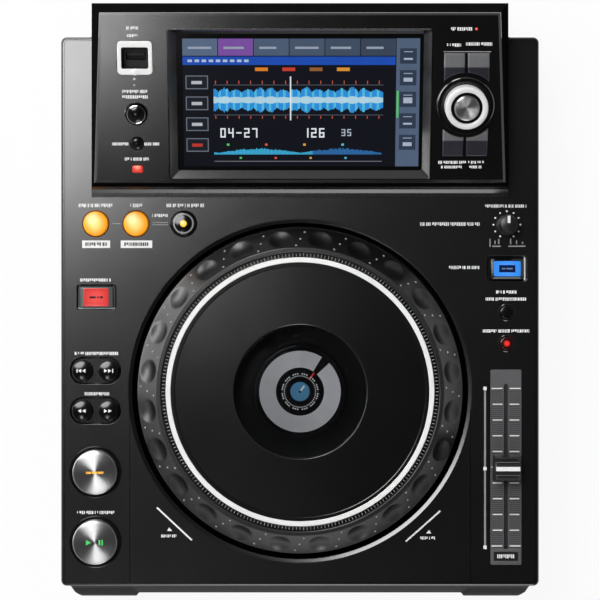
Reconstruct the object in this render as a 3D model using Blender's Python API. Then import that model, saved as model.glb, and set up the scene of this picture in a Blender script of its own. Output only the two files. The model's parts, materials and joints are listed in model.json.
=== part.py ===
# A table-top player for USB sticks, as mixed music is played from: a sloping display console
# at the rear, a large jog wheel in the middle, transport buttons on the left and a tempo
# fader on the right. Metres, +Z up, -Y towards the user, origin on the table under the
# middle of the whole player.

import math

import bmesh
import bpy
from mathutils import Matrix, Vector

# Whole player
OVERALL_WIDTH = 0.306
OVERALL_DEPTH = 0.388
OVERALL_HEIGHT = 0.110
DECK_HEIGHT = 0.062
SEAT_GAP = 0.0003
SLIDE_CLEARANCE = 0.00035
OVERRUN = 0.002
SHORT_OVERRUN = 0.0005

# Facet counts
SMALL_ROUND = 16
TRANSPORT_ROUND = 20
BUTTON_ROUND = 14
TINY_ROUND = 12
SHAFT_ROUND = 18
BOWL_ROUND = 32
FOOT_ROUND = 12
WHEEL_ROUND = 48
CORNER_STEPS = 2

# Lower case
FOOT_HEIGHT = 0.0040
FOOT_RADIUS = 0.0095
FOOT_EDGE = 0.0010
FOOT_FROM_SIDE = 0.024
FOOT_FROM_FRONT = 0.027
FOOT_FROM_REAR = 0.044
CASE_WALL = 0.0030
CASE_FLOOR = 0.0030
CASE_CORNER = 0.0035
CASE_SIDE_DRAFT = 0.0037
CASE_FRONT_LEAN = 0.0128
CORNER_BLOCK_PROUD = 0.0021
CORNER_BLOCK_WIDTH = 0.0400
CORNER_BLOCK_STEP = 0.0015
CORNER_BLOCK_HEIGHT = 0.0300
REAR_STEP = 0.0217
BAY_SET_IN = 0.0215
BAY_SHORT = 0.0035
VENT_COUNT = 8
VENT_WIDTH = 0.0030
VENT_LENGTH = 0.0340
VENT_PITCH = 0.0080
VENT_FROM_REAR = 0.070
VENT_FROM_SIDE = 0.068

# Deck panel
DECK_THICKNESS = 0.0030
DECK_SKIRT = 0.0090
DECK_EDGE = 0.0016
CABLE_OPENING_FROM_SIDE = 0.048
CABLE_OPENING_DEPTH = 0.074
CABLE_OPENING_FROM_REAR = 0.058
BOSS_RADIUS = 0.0030
BOSS_ROUND = 6

# Jog wheel and its bowl
JOG_FRONT_MARGIN = 0.0323
JOG_REAR_MARGIN = 0.0250
CONTROL_STRIP = 0.0455
JOG_RISE = 0.0135
JOG_SLOPE_RUN = 0.0118
JOG_SHOULDER = 0.0013
JOG_RIM_WIDTH = 0.0028
JOG_EDGE = 0.0005
JOG_WALL = 0.0028
JOG_SKIRT_DEPTH = 0.0080
JOG_LEDGE = 0.0045
DIMPLE_COUNT = 24
DIMPLE_FIRST_DEG = 7.65
DIMPLE_RADIUS = 0.0074
DIMPLE_DEPTH = 0.0013
DIMPLE_ROUND = 10
DIMPLE_RINGS = 2
PLATE_THICKNESS = 0.0030
PLATE_DROP = 0.0015
PLATE_GROOVE_WIDTH = 0.0024
PLATE_GROOVE_DEPTH = 0.0012
PLATE_STEP_SET_IN = 0.0024
PLATE_STEP = 0.0004
TRIM_SET_IN = 0.0031
TRIM_WIDTH = 0.0033
TRIM_THICKNESS = 0.0010
TRIM_PROUD = 0.0003
WINDOW_TO_BORE = 0.475
WINDOW_THICKNESS = 0.0015
WINDOW_LEDGE = 0.0020
BOWL_GAP = 0.0035
BOWL_CHAMFER = 0.0020
BOWL_DEPTH = 0.0140
BOWL_WALL = 0.0020
BOWL_FLANGE = 0.0042
HUB_TUBE_RADIUS = 0.0120
HUB_BORE = 0.0095
HUB_WALL = 0.0020
HUB_PAST_WINDOW = 0.0050
HUB_DISH_SLOPE = 0.0050
HUB_DISH_DEPTH = 0.0127
HUB_TUBE_LENGTH = 0.0360
BEARING_CLEARANCE = 0.0002
BEARING_WALL = 0.0040
BEARING_FLANGE = 0.0060
BEARING_FLANGE_THICKNESS = 0.0020
BEARING_LENGTH = 0.0180
ENCODER_RADIUS = 0.0260
ENCODER_COLLAR = 0.0030
ENCODER_COLLAR_HEIGHT = 0.0050
ENCODER_THICKNESS = 0.0015
ENCODER_NOTCHES = 8
ENCODER_NOTCH_DEPTH = 0.0040
ENCODER_ABOVE_TUBE_END = 0.0010
POST_RADIUS = 0.0075
POST_FLANGE = 0.0055
POST_FLANGE_THICKNESS = 0.0020
DISPLAY_TO_WINDOW = 0.714
DISPLAY_THICKNESS = 0.0070
DISPLAY_UNDER_WINDOW = 0.0020
DISPLAY_EDGE = 0.0008

# Display console
CONSOLE_SET_IN = 0.0196
CONSOLE_DEPTH = 0.1157
CONSOLE_SIDE_DRAFT_SHARE = 0.21
CONSOLE_REAR_DRAFT_SHARE = 0.28
CONSOLE_FRONT_DRAFT_SHARE = 0.10
CONSOLE_WALL = 0.0030
CONSOLE_FRONT_TOP = 0.0200
CONSOLE_FILLET = 0.0065
CONSOLE_FILLET_STEPS = 4
FACE_THICKNESS = 0.0030
FACE_EDGE = 0.0013
SIDE_PANEL = 0.0514
SCREEN_FRONT = 0.0016
SCREEN_REAR = 0.0962
BEZEL_DEPTH = 0.0050
BEZEL_SIDE_RUN = 0.0052
BEZEL_FRONT_RUN = 0.0050
BEZEL_REAR_RUN = 0.0036
BEZEL_LIP = 0.0005
BEZEL_CORNER = 0.0010
GLASS_THICKNESS = 0.0018
GLASS_MARGIN = 0.0016
LCD_THICKNESS = 0.0050
CONSOLE_BOARD_DEPTH = 0.0160
CONSOLE_BOARD_SET_IN = 0.0174
CONSOLE_BOARD_FRONT = 0.0075
CONSOLE_BOARD_REAR = 0.0940

# USB well in the console
USB_FROM_SIDE = 0.0311
USB_V = 0.0783
USB_FRAME_WIDTH = 0.0219
USB_FRAME_DEPTH = 0.0211
USB_FRAME_CORNER = 0.0024
USB_FRAME_PROUD = 0.0008
USB_FRAME_FLANGE = 0.0012
USB_WINDOW_WIDTH = 0.0167
USB_WINDOW_DEPTH = 0.0132
USB_WELL_WALL = 0.0010
USB_WELL_DEPTH = 0.0080
USB_SHELL_WIDTH = 0.0124
USB_SHELL_DEPTH = 0.0048
USB_SOCKET_HEIGHT = 0.0070
USB_POCKET_DEPTH = 0.0055
USB_TONGUE_WIDTH = 0.0108
USB_TONGUE_DEPTH = 0.0018

# Selector and the four buttons round it
SELECTOR_FROM_SIDE = 0.0303
SELECTOR_V = 0.0488
COLLAR_OUTER = 0.0180
COLLAR_INNER = 0.0146
COLLAR_RISE = 0.0022
COLLAR_EDGE = 0.0008
SELECTOR_RADIUS = 0.0132
SELECTOR_RISE = 0.0125
SELECTOR_GROOVE_OUTER = 0.0098
SELECTOR_CAP_RADIUS = 0.0078
SELECTOR_GROOVE_DEPTH = 0.0022
SELECTOR_EDGE = 0.0007
SELECTOR_HOLLOW = 0.0060
SELECTOR_TOP_WALL = 0.0040
SELECTOR_FLOAT = 0.0011
PLUNGER_RADIUS = 0.0045
PLUNGER_FLANGE = 0.0020
PLUNGER_FLANGE_THICKNESS = 0.0010
PLUNGER_HOLE_CLEARANCE = 0.0003
SELECTOR_TRAVEL = 0.0006
SIDE_BUTTON_ARC = 0.0203
SIDE_BUTTON_ARC_STEPS = 5
SIDE_BUTTON_LEFT = 0.0139
SIDE_BUTTON_RIGHT = 0.0144
SIDE_BUTTON_HALF_WEB = 0.0008
SIDE_BUTTON_REACH = 0.0326
SIDE_BUTTON_RISE = 0.0022
SIDE_BUTTON_EDGE = 0.0007
SIDE_BUTTON_SLOPE = 0.0016

# Buttons: how far each kind stands up, travels and is held under its panel
BUTTON_FLANGE = 0.0010
BUTTON_FLANGE_THICKNESS = 0.0010
STEM_RADIUS = 0.0022
SWITCH_SIZE = 0.0060
SWITCH_HEIGHT = 0.0020
BOARD_THICKNESS = 0.0016
BOARD_UNDER_DECK = 0.0080

# Where the deck's controls stand: from the left or right side, from the front and from the console.
# The left column's gaps share what its buttons leave free, in these proportions.
LEFT_COLUMN = 0.0221
COLUMN_FRONT = 0.0291
COLUMN_REAR = 0.0177
COLUMN_GAPS = {"cue": 162, "search": 168, "track": 90, "direction": 302, "loop": 309}
TRANSPORT = {"radius": 0.0142, "rise": 0.0052, "edge": 0.0009, "travel": 0.0015, "dish": 0.0024,
             "dish_depth": 0.0016, "crown": 0.0005, "facets": TRANSPORT_ROUND}
SKIP_FROM_LEFT = 0.0137
SKIP_PITCH = 0.0167
SKIP = {"radius": 0.0064, "rise": 0.0026, "edge": 0.0007, "travel": 0.0010, "facets": BUTTON_ROUND,
        "well_width": 0.0316, "well_depth": 0.0166, "well_corner": 0.0078, "well_sink": 0.0012,
        "well_run": 0.0009}
DIRECTION_FROM_LEFT = 0.0228
MODE_FROM_RIGHT = 0.0206
MODE_FROM_CONSOLE = 0.0543
KEY = {"width": 0.0208, "depth": 0.0132, "corner": 0.0010, "rise": 0.0022, "edge": 0.0008,
       "travel": 0.0010, "well_width": 0.0258, "well_depth": 0.0168, "well_corner": 0.0020,
       "well_sink": 0.0014, "well_run": 0.0010}
LOOP_IN_FROM_LEFT = 0.0223
LOOP_OUT_FROM_LEFT = 0.0480
RELOOP_FROM_LEFT = 0.0786
LOOP = {"radius": 0.0078, "rise": 0.0030, "edge": 0.0009, "travel": 0.0010, "crown": 0.0009,
        "dish": 0.0011, "dish_depth": 0.0010, "facets": BUTTON_ROUND}
SPEED_FROM_RIGHT = 0.0206
SPEED_FROM_CONSOLE = 0.0261
SPEED_KNOB = {"base_radius": 0.0068, "top_radius": 0.0055, "rise": 0.0130, "float": 0.0008, "edge": 0.0006,
              "skirt": 0.0020, "shaft": 0.0030, "hole": 0.0036, "collar": 0.0048, "collar_thickness": 0.0010}
RANGE_FROM_RIGHT = 0.0208
RANGE_FROM_CONSOLE = 0.0823
MASTER_FROM_CONSOLE = 0.1021
ROUND_KEY = {"radius": 0.0043, "rise": 0.0016, "edge": 0.0006, "travel": 0.0008, "facets": TINY_ROUND,
             "dish": 0.0007, "dish_depth": 0.0007}
STOP_FROM_SIDE = 0.0313
STOP_V = 0.0433
STOP = {"radius": 0.0061, "rise": 0.0026, "edge": 0.0007, "travel": 0.0008, "facets": BUTTON_ROUND,
        "dish": 0.0008, "dish_depth": 0.0007}
TIME_V = 0.0245
TIME = {"radius": 0.0035, "rise": 0.0016, "edge": 0.0005, "travel": 0.0008, "facets": TINY_ROUND,
        "dish": 0.0006, "dish_depth": 0.0006}
QUANTIZE_V = 0.0082
QUANTIZE = {"width": 0.0064, "depth": 0.0042, "corner": 0.0006, "rise": 0.0014, "edge": 0.0005,
            "travel": 0.0008}

# Tempo fader
FADER_FROM_RIGHT = 0.0212
FADER_FRONT = 0.0285
FADER_FROM_CONSOLE = 0.1188
FADER_END = 0.0125
FADER_PLATE_WIDTH = 0.0198
FADER_PLATE_THICKNESS = 0.0010
FADER_PLATE_CORNER = 0.0008
FADER_SLOT_WIDTH = 0.0026
FADER_SLOT_SPARE = 0.0012
FADER_LEVER_WIDTH = 0.0014
FADER_LEVER_LENGTH = 0.0040
FADER_LEVER_DEPTH = 0.0090
FADER_CAP_WIDTH = 0.0176
FADER_CAP_LENGTH = 0.0168
FADER_CAP_RISE = 0.0140
FADER_CAP_FLOAT = 0.0012
FADER_CAP_TOP_SHARE = 0.86
FADER_CAP_DISH = 0.0026
FADER_CAP_RIDGE = 0.0020
FADER_BODY_WIDTH = 0.0120
FADER_BODY_SHORTER = 0.0070
FADER_BODY_HEIGHT = 0.0085
FADER_BODY_WALL = 0.0020

# Boards inside
BOARD_FROM_SIDE = 0.0060
LEFT_BOARD_WIDTH = 0.0330
LEFT_BOARD_PAST_PLAY = 0.0203
LEFT_BOARD_PAST_LOOP = 0.0132
LEFT_BOARD_BEFORE_LOOP = 0.0106
LEFT_BOARD_PAST_RELOOP = 0.0134
RIGHT_BOARD_WIDTH = 0.0310
RIGHT_BOARD_PAST_MASTER = 0.0142
MAIN_BOARD_FROM_SIDE = 0.0300
BOARDS_APART = 0.0210
MAIN_BOARD_DEPTH = 0.0820
MAIN_BOARD_FROM_REAR = 0.0500
MAIN_BOARD_LIFT = 0.0060
CHIP = {"width": 0.0240, "depth": 0.0240, "height": 0.0025, "from_edge": 0.0300}
POWER_BOARD_WIDTH = 0.0740
POWER_BOARD_FROM_SIDE = 0.0680
TRANSFORMER = {"width": 0.0300, "depth": 0.0260, "height": 0.0240}
CAPACITOR = {"radius": 0.0080, "height": 0.0260, "from_transformer": 0.0260}
HEAT_SINK = {"width": 0.0260, "depth": 0.0040, "height": 0.0240, "from_transformer": 0.0250}
PILLAR_RADIUS = 0.0035
PILLAR_INSET = 0.0080

# Sockets at the rear
TERMINAL_SET_IN = 0.0135
TERMINAL_BOTTOM = 0.0130
TERMINAL_BELOW_CASE_TOP = 0.0027
TERMINAL_PLATE_THICKNESS = 0.0010
TERMINAL_PLATE_LAP = 0.0030
SOCKET_STAND_OUT = 0.0020
INLET = {"from_side": 0.0530, "width": 0.0280, "height": 0.0220, "depth": 0.0240,
         "corner": 0.0020, "mouth_width": 0.0176, "mouth_height": 0.0086, "mouth_depth": 0.0150,
         "pin_pitch": 0.0086, "pin_radius": 0.0012, "pin_length": 0.0110}
POWER_BUTTON = {"from_side": 0.0890, "width": 0.0120, "height": 0.0080, "rise": 0.0050,
                "travel": 0.0025, "edge": 0.0008, "corner": 0.0008, "stem": 0.0060}
LAN = {"from_board_edge": 0.0290, "width": 0.0160, "height": 0.0135, "depth": 0.0210, "corner": 0.0005,
       "mouth_width": 0.0120, "mouth_height": 0.0080, "mouth_depth": 0.0130}
USB_B = {"from_board_edge": 0.0060, "width": 0.0120, "height": 0.0108, "depth": 0.0160, "corner": 0.0005,
         "mouth_width": 0.0088, "mouth_height": 0.0078, "mouth_depth": 0.0100,
         "tongue_width": 0.0056, "tongue_height": 0.0030, "tongue_length": 0.0080}
JACKS = {"from_side": 0.0670, "pitch": 0.0160, "count": 3, "height": 0.0130, "depth": 0.0180,
         "corner": 0.0010, "margin": 0.0070, "barrel": 0.0042, "barrel_length": 0.0077, "bore": 0.0017,
         "bore_depth": 0.0060}

# Places worked out from the driving dimensions
HALF_WIDTH = OVERALL_WIDTH / 2
FRONT_Y = -OVERALL_DEPTH / 2
REAR_Y = OVERALL_DEPTH / 2
DECK_LENGTH = OVERALL_DEPTH - CONSOLE_DEPTH
DECK_FRONT_Y = FRONT_Y + CORNER_BLOCK_PROUD + CASE_FRONT_LEAN
DECK_REAR_Y = REAR_Y - REAR_STEP
BAY_HALF = HALF_WIDTH - BAY_SET_IN
BAY_REAR_Y = REAR_Y - BAY_SHORT
CASE_TOP = DECK_HEIGHT - DECK_SKIRT - SEAT_GAP
FLOOR_TOP = FOOT_HEIGHT + CASE_FLOOR
DECK_UNDER = DECK_HEIGHT - DECK_THICKNESS
BOARD_TOP = DECK_UNDER - BOARD_UNDER_DECK
CABLE_OPENING_WIDTH = OVERALL_WIDTH - 2 * CABLE_OPENING_FROM_SIDE
VENT_X = HALF_WIDTH - VENT_FROM_SIDE

BOWL_RADIUS = min(HALF_WIDTH - CONTROL_STRIP, (DECK_LENGTH - JOG_FRONT_MARGIN - JOG_REAR_MARGIN) / 2)
JOG_RADIUS = BOWL_RADIUS - BOWL_GAP
JOG_Y = FRONT_Y + (DECK_LENGTH + JOG_FRONT_MARGIN - JOG_REAR_MARGIN) / 2
JOG_TOP = DECK_HEIGHT + JOG_RISE
PLATE_TOP = JOG_TOP - PLATE_DROP
LEDGE_TOP = PLATE_TOP - PLATE_THICKNESS - SEAT_GAP
JOG_BORE = JOG_RADIUS - JOG_EDGE - JOG_SLOPE_RUN - JOG_EDGE - JOG_RIM_WIDTH
TRIM_OUTER = JOG_BORE - TRIM_SET_IN
TRIM_INNER = TRIM_OUTER - TRIM_WIDTH
PLATE_STEP_RADIUS = TRIM_INNER - PLATE_STEP_SET_IN
WINDOW_RADIUS = JOG_BORE * WINDOW_TO_BORE
DISPLAY_RADIUS = WINDOW_RADIUS * DISPLAY_TO_WINDOW
HUB_DISH_RADIUS = WINDOW_RADIUS + HUB_PAST_WINDOW

COLUMN_BUTTONS = 4 * TRANSPORT["radius"] + 2 * SKIP["well_depth"] + KEY["well_depth"] + 2 * LOOP["radius"]
COLUMN_FREE = DECK_LENGTH - COLUMN_FRONT - COLUMN_REAR - COLUMN_BUTTONS
COLUMN_GAP = {name: share * COLUMN_FREE / sum(COLUMN_GAPS.values()) for name, share in COLUMN_GAPS.items()}
PLAY_FROM_FRONT = COLUMN_FRONT + TRANSPORT["radius"]
CUE_FROM_FRONT = PLAY_FROM_FRONT + 2 * TRANSPORT["radius"] + COLUMN_GAP["cue"]
SEARCH_FROM_FRONT = CUE_FROM_FRONT + TRANSPORT["radius"] + COLUMN_GAP["search"] + SKIP["well_depth"] / 2
TRACK_FROM_FRONT = SEARCH_FROM_FRONT + SKIP["well_depth"] + COLUMN_GAP["track"]
SKIP_TO_KEY = (SKIP["well_depth"] + KEY["well_depth"]) / 2
DIRECTION_FROM_FRONT = TRACK_FROM_FRONT + SKIP_TO_KEY + COLUMN_GAP["direction"]
LOOP_FROM_FRONT = DIRECTION_FROM_FRONT + KEY["well_depth"] / 2 + COLUMN_GAP["loop"] + LOOP["radius"]
MODE_FROM_FRONT = DECK_LENGTH - MODE_FROM_CONSOLE
SPEED_FROM_FRONT = DECK_LENGTH - SPEED_FROM_CONSOLE
RANGE_FROM_FRONT = DECK_LENGTH - RANGE_FROM_CONSOLE
MASTER_FROM_FRONT = DECK_LENGTH - MASTER_FROM_CONSOLE
FADER_PLATE_LENGTH = DECK_LENGTH - FADER_FROM_CONSOLE - FADER_FRONT
FADER_FROM_FRONT = FADER_FRONT + FADER_PLATE_LENGTH / 2
FADER_TRAVEL = FADER_PLATE_LENGTH - 2 * FADER_END
FADER_BODY_LENGTH = FADER_PLATE_LENGTH - FADER_BODY_SHORTER

LEFT_BOARD_FROM_FRONT = PLAY_FROM_FRONT - LEFT_BOARD_PAST_PLAY
LEFT_BOARD_REAR_FROM_FRONT = LOOP_FROM_FRONT + LEFT_BOARD_PAST_LOOP
LEFT_BOARD_ARM_FROM_FRONT = LOOP_FROM_FRONT - LEFT_BOARD_BEFORE_LOOP
LEFT_BOARD_ARM_WIDTH = RELOOP_FROM_LEFT + LEFT_BOARD_PAST_RELOOP - BOARD_FROM_SIDE
RIGHT_BOARD_FROM_FRONT = MASTER_FROM_FRONT - RIGHT_BOARD_PAST_MASTER
POWER_BOARD_X = HALF_WIDTH - POWER_BOARD_FROM_SIDE
MAIN_BOARD_LEFT = MAIN_BOARD_FROM_SIDE - HALF_WIDTH
MAIN_BOARD_RIGHT = POWER_BOARD_X - POWER_BOARD_WIDTH / 2 - BOARDS_APART
MAIN_BOARD_WIDTH = MAIN_BOARD_RIGHT - MAIN_BOARD_LEFT
MAIN_BOARD_X = (MAIN_BOARD_LEFT + MAIN_BOARD_RIGHT) / 2
TERMINAL_WIDTH = 2 * (BAY_HALF - TERMINAL_SET_IN)
TERMINAL_TOP = CASE_TOP - TERMINAL_BELOW_CASE_TOP
REAR_BOARD_TOP = FLOOR_TOP + MAIN_BOARD_LIFT + SEAT_GAP + BOARD_THICKNESS
MAINS_Z = (REAR_BOARD_TOP + TERMINAL_TOP) / 2
INLET["x"] = HALF_WIDTH - INLET["from_side"]
INLET["z"] = MAINS_Z
POWER_BUTTON["x"] = HALF_WIDTH - POWER_BUTTON["from_side"]
POWER_BUTTON["z"] = MAINS_Z
JACKS["x"] = JACKS["from_side"] - HALF_WIDTH
LAN["x"] = MAIN_BOARD_RIGHT - LAN["from_board_edge"]
USB_B["x"] = MAIN_BOARD_RIGHT - USB_B["from_board_edge"]

CONSOLE_HALF = HALF_WIDTH - CONSOLE_SET_IN
SCREEN_HALF_WIDTH = CONSOLE_HALF - SIDE_PANEL
CONSOLE_BOARD_HALF_WIDTH = CONSOLE_HALF - CONSOLE_BOARD_SET_IN
USB_X = USB_FROM_SIDE - CONSOLE_HALF
SELECTOR_X = CONSOLE_HALF - SELECTOR_FROM_SIDE
STOP_X = STOP_FROM_SIDE - CONSOLE_HALF
FACE_FRONT_Y = REAR_Y - CONSOLE_DEPTH
FACE_FRONT_Z = DECK_HEIGHT + CONSOLE_FRONT_TOP
FACE_REAR_Y = REAR_Y - CONSOLE_REAR_DRAFT_SHARE * (OVERALL_HEIGHT - DECK_HEIGHT)
FACE_SLOPE = (OVERALL_HEIGHT - FACE_FRONT_Z) / (FACE_REAR_Y - FACE_FRONT_Y)
TILT = math.atan(FACE_SLOPE)
CONSOLE_BASE = DECK_HEIGHT + SEAT_GAP
FACE_FRAME = Matrix.Translation((0, FACE_FRONT_Y, FACE_FRONT_Z)) @ Matrix.Rotation(TILT, 4, "X")


def finish(name, colour, roughness, metallic=0.0):
    material = bpy.data.materials.new(name)
    material.use_nodes = True
    shader = material.node_tree.nodes["Principled BSDF"]
    shader.inputs["Base Color"].default_value = (*colour, 1.0)
    shader.inputs["Roughness"].default_value = roughness
    shader.inputs["Metallic"].default_value = metallic
    return material


def circle(radius, z, count, centre=(0, 0), start=0.0):
    points = []
    for index in range(count):
        angle = start + math.tau * index / count
        points.append(Vector((centre[0] + radius * math.cos(angle), centre[1] + radius * math.sin(angle), z)))
    return points


def rounded_rect(width, depth, corner, z, centre=(0, 0), steps=CORNER_STEPS):
    points = []
    for quarter in range(4):
        side_x = 1 if quarter in (0, 3) else -1
        side_y = 1 if quarter in (0, 1) else -1
        mid_x = centre[0] + side_x * (width / 2 - corner)
        mid_y = centre[1] + side_y * (depth / 2 - corner)
        for step in range(steps + 1):
            angle = math.pi / 2 * (quarter + step / steps)
            points.append(Vector((mid_x + corner * math.cos(angle), mid_y + corner * math.sin(angle), z)))
    return points


def add_loft(bm, loops, ring=False):
    # Skins loops of equal length; a ring joins the last loop to the first, otherwise both ends are capped.
    rows = [[bm.verts.new(point) for point in loop] for loop in loops]
    pairs = list(zip(rows, rows[1:]))
    if ring:
        pairs.append((rows[-1], rows[0]))
    count = len(rows[0])
    for low, high in pairs:
        for index in range(count):
            after = (index + 1) % count
            bm.faces.new((low[index], low[after], high[after], high[index]))
    if not ring:
        bm.faces.new(reversed(rows[0]))
        bm.faces.new(rows[-1])
    return bm


def loft(loops, ring=False):
    return add_loft(bmesh.new(), loops, ring)


def turned(profile, count, ring=False, bm=None, centre=(0, 0)):
    # Profile points are (radius, height); without a ring both ends close in a flat disc.
    loops = [circle(radius, z, count, centre) for radius, z in profile]
    return add_loft(bm or bmesh.new(), loops, ring)


def add_box(bm, low, high):
    width = high[0] - low[0]
    depth = high[1] - low[1]
    made = bmesh.ops.create_cube(bm, size=1.0)["verts"]
    bmesh.ops.scale(bm, verts=made, vec=(width, depth, high[2] - low[2]))
    middle = [(a + b) / 2 for a, b in zip(low, high)]
    bmesh.ops.translate(bm, verts=made, vec=middle)
    return bm


def place(name, bm, material, location=(0, 0, 0), tilt=0.0, angle_deg=35, parent=None):
    bmesh.ops.recalc_face_normals(bm, faces=bm.faces)
    mesh = bpy.data.meshes.new(name)
    bm.to_mesh(mesh)
    bm.free()
    piece = bpy.data.objects.new(name, mesh)
    bpy.context.scene.collection.objects.link(piece)
    mesh.materials.append(material)
    mesh.shade_smooth()
    mesh.set_sharp_from_angle(angle=math.radians(angle_deg))
    piece.location = location
    piece.rotation_euler = (tilt, 0, 0)
    piece.parent = parent
    return piece


def combine(target, bm, name, operation="DIFFERENCE", location=(0, 0, 0), tilt=0.0):
    # Cuts a hidden tool out of a piece, or adds it to the piece as one body.
    tool = place(name, bm, target.data.materials[0], location, tilt)
    tool.hide_render = True
    tool.display_type = "WIRE"
    modifier = target.modifiers.new(name, "BOOLEAN")
    modifier.operation = operation
    modifier.object = tool
    return tool


def on_face(x, v, depth=0.0):
    # A place on the console's sloping face: across, up the slope, and below its surface.
    return FACE_FRAME @ Vector((x, v, -depth))


def case_outline(z, inset, half_width, front_y, block_proud):
    # The T-shaped plan of case and deck: a rectangle with a bay behind it for the sockets.
    corner = CASE_CORNER
    points = []
    block_y = front_y - block_proud + inset
    block_x = half_width - CORNER_BLOCK_WIDTH
    corners = [(-1, block_y, 2), (1, block_y, 3), (1, DECK_REAR_Y - inset, 0), (-1, DECK_REAR_Y - inset, 1)]
    for side, y, quarter in corners:
        mid_x = side * (half_width - inset - corner)
        mid_y = y + corner if quarter in (2, 3) else y - corner
        for step in range(CORNER_STEPS + 1):
            angle = math.pi / 2 * (quarter + step / CORNER_STEPS)
            points.append(Vector((mid_x + corner * math.cos(angle), mid_y + corner * math.sin(angle), z)))
        if quarter == 2:
            for x, line in ((-block_x, block_y), (-block_x + CORNER_BLOCK_STEP, front_y + inset)):
                points.append(Vector((x, line, z)))
            for x, line in ((block_x - CORNER_BLOCK_STEP, front_y + inset), (block_x, block_y)):
                points.append(Vector((x, line, z)))
        if quarter == 0:
            bay = BAY_HALF - inset
            rear = BAY_REAR_Y - inset
            step_y = DECK_REAR_Y - inset
            for x, bay_y in ((bay, step_y), (bay, rear), (-bay, rear), (-bay, step_y)):
                points.append(Vector((x, bay_y, z)))
    return points


def case_level(z, inset):
    # The case leans out at the front and draws in at the sides towards the bottom.
    share = (CASE_TOP - z) / (CASE_TOP - FOOT_HEIGHT)
    half = HALF_WIDTH - CASE_SIDE_DRAFT * share
    front = DECK_FRONT_Y - CASE_FRONT_LEAN * share
    block_share = min(1, max(0, (CORNER_BLOCK_HEIGHT - z) / (CORNER_BLOCK_HEIGHT - FOOT_HEIGHT) * 2))
    return case_outline(z, inset, half, front, CORNER_BLOCK_PROUD * block_share)


def lower_case():
    block_full = (FOOT_HEIGHT + CORNER_BLOCK_HEIGHT) / 2
    heights = (FOOT_HEIGHT, block_full, CORNER_BLOCK_HEIGHT, CASE_TOP)
    outer = [case_level(z, 0) for z in heights]
    inner = [case_level(z, CASE_WALL) for z in reversed(heights)]
    black = finish("case_black", (0.03, 0.03, 0.032), 0.55)
    case = place("lower_case", loft(outer + inner, ring=True), black)
    opening = add_box(bmesh.new(), (-TERMINAL_WIDTH / 2, BAY_REAR_Y - CASE_WALL - OVERRUN, TERMINAL_BOTTOM),
                      (TERMINAL_WIDTH / 2, BAY_REAR_Y + OVERRUN, TERMINAL_TOP))
    combine(case, opening, "terminal_opening")


def base_plate():
    # The case's floor, a plate of its own with the stand-offs of the two rear boards.
    loops = [case_level(z, CASE_WALL + SEAT_GAP) for z in (FOOT_HEIGHT, FLOOR_TOP)]
    plate = place("base_plate", loft(loops), finish("base_black", (0.03, 0.03, 0.032), 0.55))
    pillars = bmesh.new()
    for x, y, top in main_pillars() + power_pillars():
        pillar = [(PILLAR_RADIUS, FLOOR_TOP - SHORT_OVERRUN), (PILLAR_RADIUS, top)]
        turned(pillar, BOSS_ROUND, bm=pillars, centre=(x, y))
    combine(plate, pillars, "plate_pillars", "UNION")

    openings = bmesh.new()
    for index in range(VENT_COUNT):
        x = VENT_X + VENT_PITCH * (index - (VENT_COUNT - 1) / 2)
        y = REAR_Y - VENT_FROM_REAR
        add_box(openings, (x - VENT_WIDTH / 2, y - VENT_LENGTH / 2, FOOT_HEIGHT - OVERRUN),
                (x + VENT_WIDTH / 2, y + VENT_LENGTH / 2, FLOOR_TOP + SHORT_OVERRUN))
    combine(plate, openings, "vents")


def feet():
    rubber = finish("foot_rubber", (0.02, 0.02, 0.02), 0.9)
    top = FOOT_HEIGHT - SEAT_GAP
    for side, side_name in ((-1, "left"), (1, "right")):
        x = side * (HALF_WIDTH - FOOT_FROM_SIDE)
        for y, end_name in ((FRONT_Y + FOOT_FROM_FRONT, "front"), (REAR_Y - FOOT_FROM_REAR, "rear")):
            profile = [(FOOT_RADIUS - FOOT_EDGE, 0), (FOOT_RADIUS, FOOT_EDGE), (FOOT_RADIUS, top)]
            place(f"foot_{end_name}_{side_name}", turned(profile, FOOT_ROUND), rubber, (x, y, 0))


# Deck panel

def left_x(distance):
    return -HALF_WIDTH + distance


def right_x(distance):
    return HALF_WIDTH - distance


def front_y(distance):
    return FRONT_Y + distance


def deck_round_keys():
    return {
        "cue_button": (left_x(LEFT_COLUMN), front_y(CUE_FROM_FRONT), TRANSPORT),
        "play_button": (left_x(LEFT_COLUMN), front_y(PLAY_FROM_FRONT), TRANSPORT),
        "loop_in_button": (left_x(LOOP_IN_FROM_LEFT), front_y(LOOP_FROM_FRONT), LOOP),
        "loop_out_button": (left_x(LOOP_OUT_FROM_LEFT), front_y(LOOP_FROM_FRONT), LOOP),
        "reloop_button": (left_x(RELOOP_FROM_LEFT), front_y(LOOP_FROM_FRONT), LOOP),
        "tempo_range_button": (right_x(RANGE_FROM_RIGHT), front_y(RANGE_FROM_FRONT), ROUND_KEY),
        "master_tempo_button": (right_x(RANGE_FROM_RIGHT), front_y(MASTER_FROM_FRONT), ROUND_KEY),
    }


def skip_keys():
    near = left_x(SKIP_FROM_LEFT)
    far = left_x(SKIP_FROM_LEFT + SKIP_PITCH)
    return {
        "track_back_button": (near, front_y(TRACK_FROM_FRONT), SKIP),
        "track_forward_button": (far, front_y(TRACK_FROM_FRONT), SKIP),
        "search_back_button": (near, front_y(SEARCH_FROM_FRONT), SKIP),
        "search_forward_button": (far, front_y(SEARCH_FROM_FRONT), SKIP),
    }


def deck_keys():
    return {
        "direction_button": (left_x(DIRECTION_FROM_LEFT), front_y(DIRECTION_FROM_FRONT)),
        "jog_mode_button": (right_x(MODE_FROM_RIGHT), front_y(MODE_FROM_FRONT)),
    }


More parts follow.
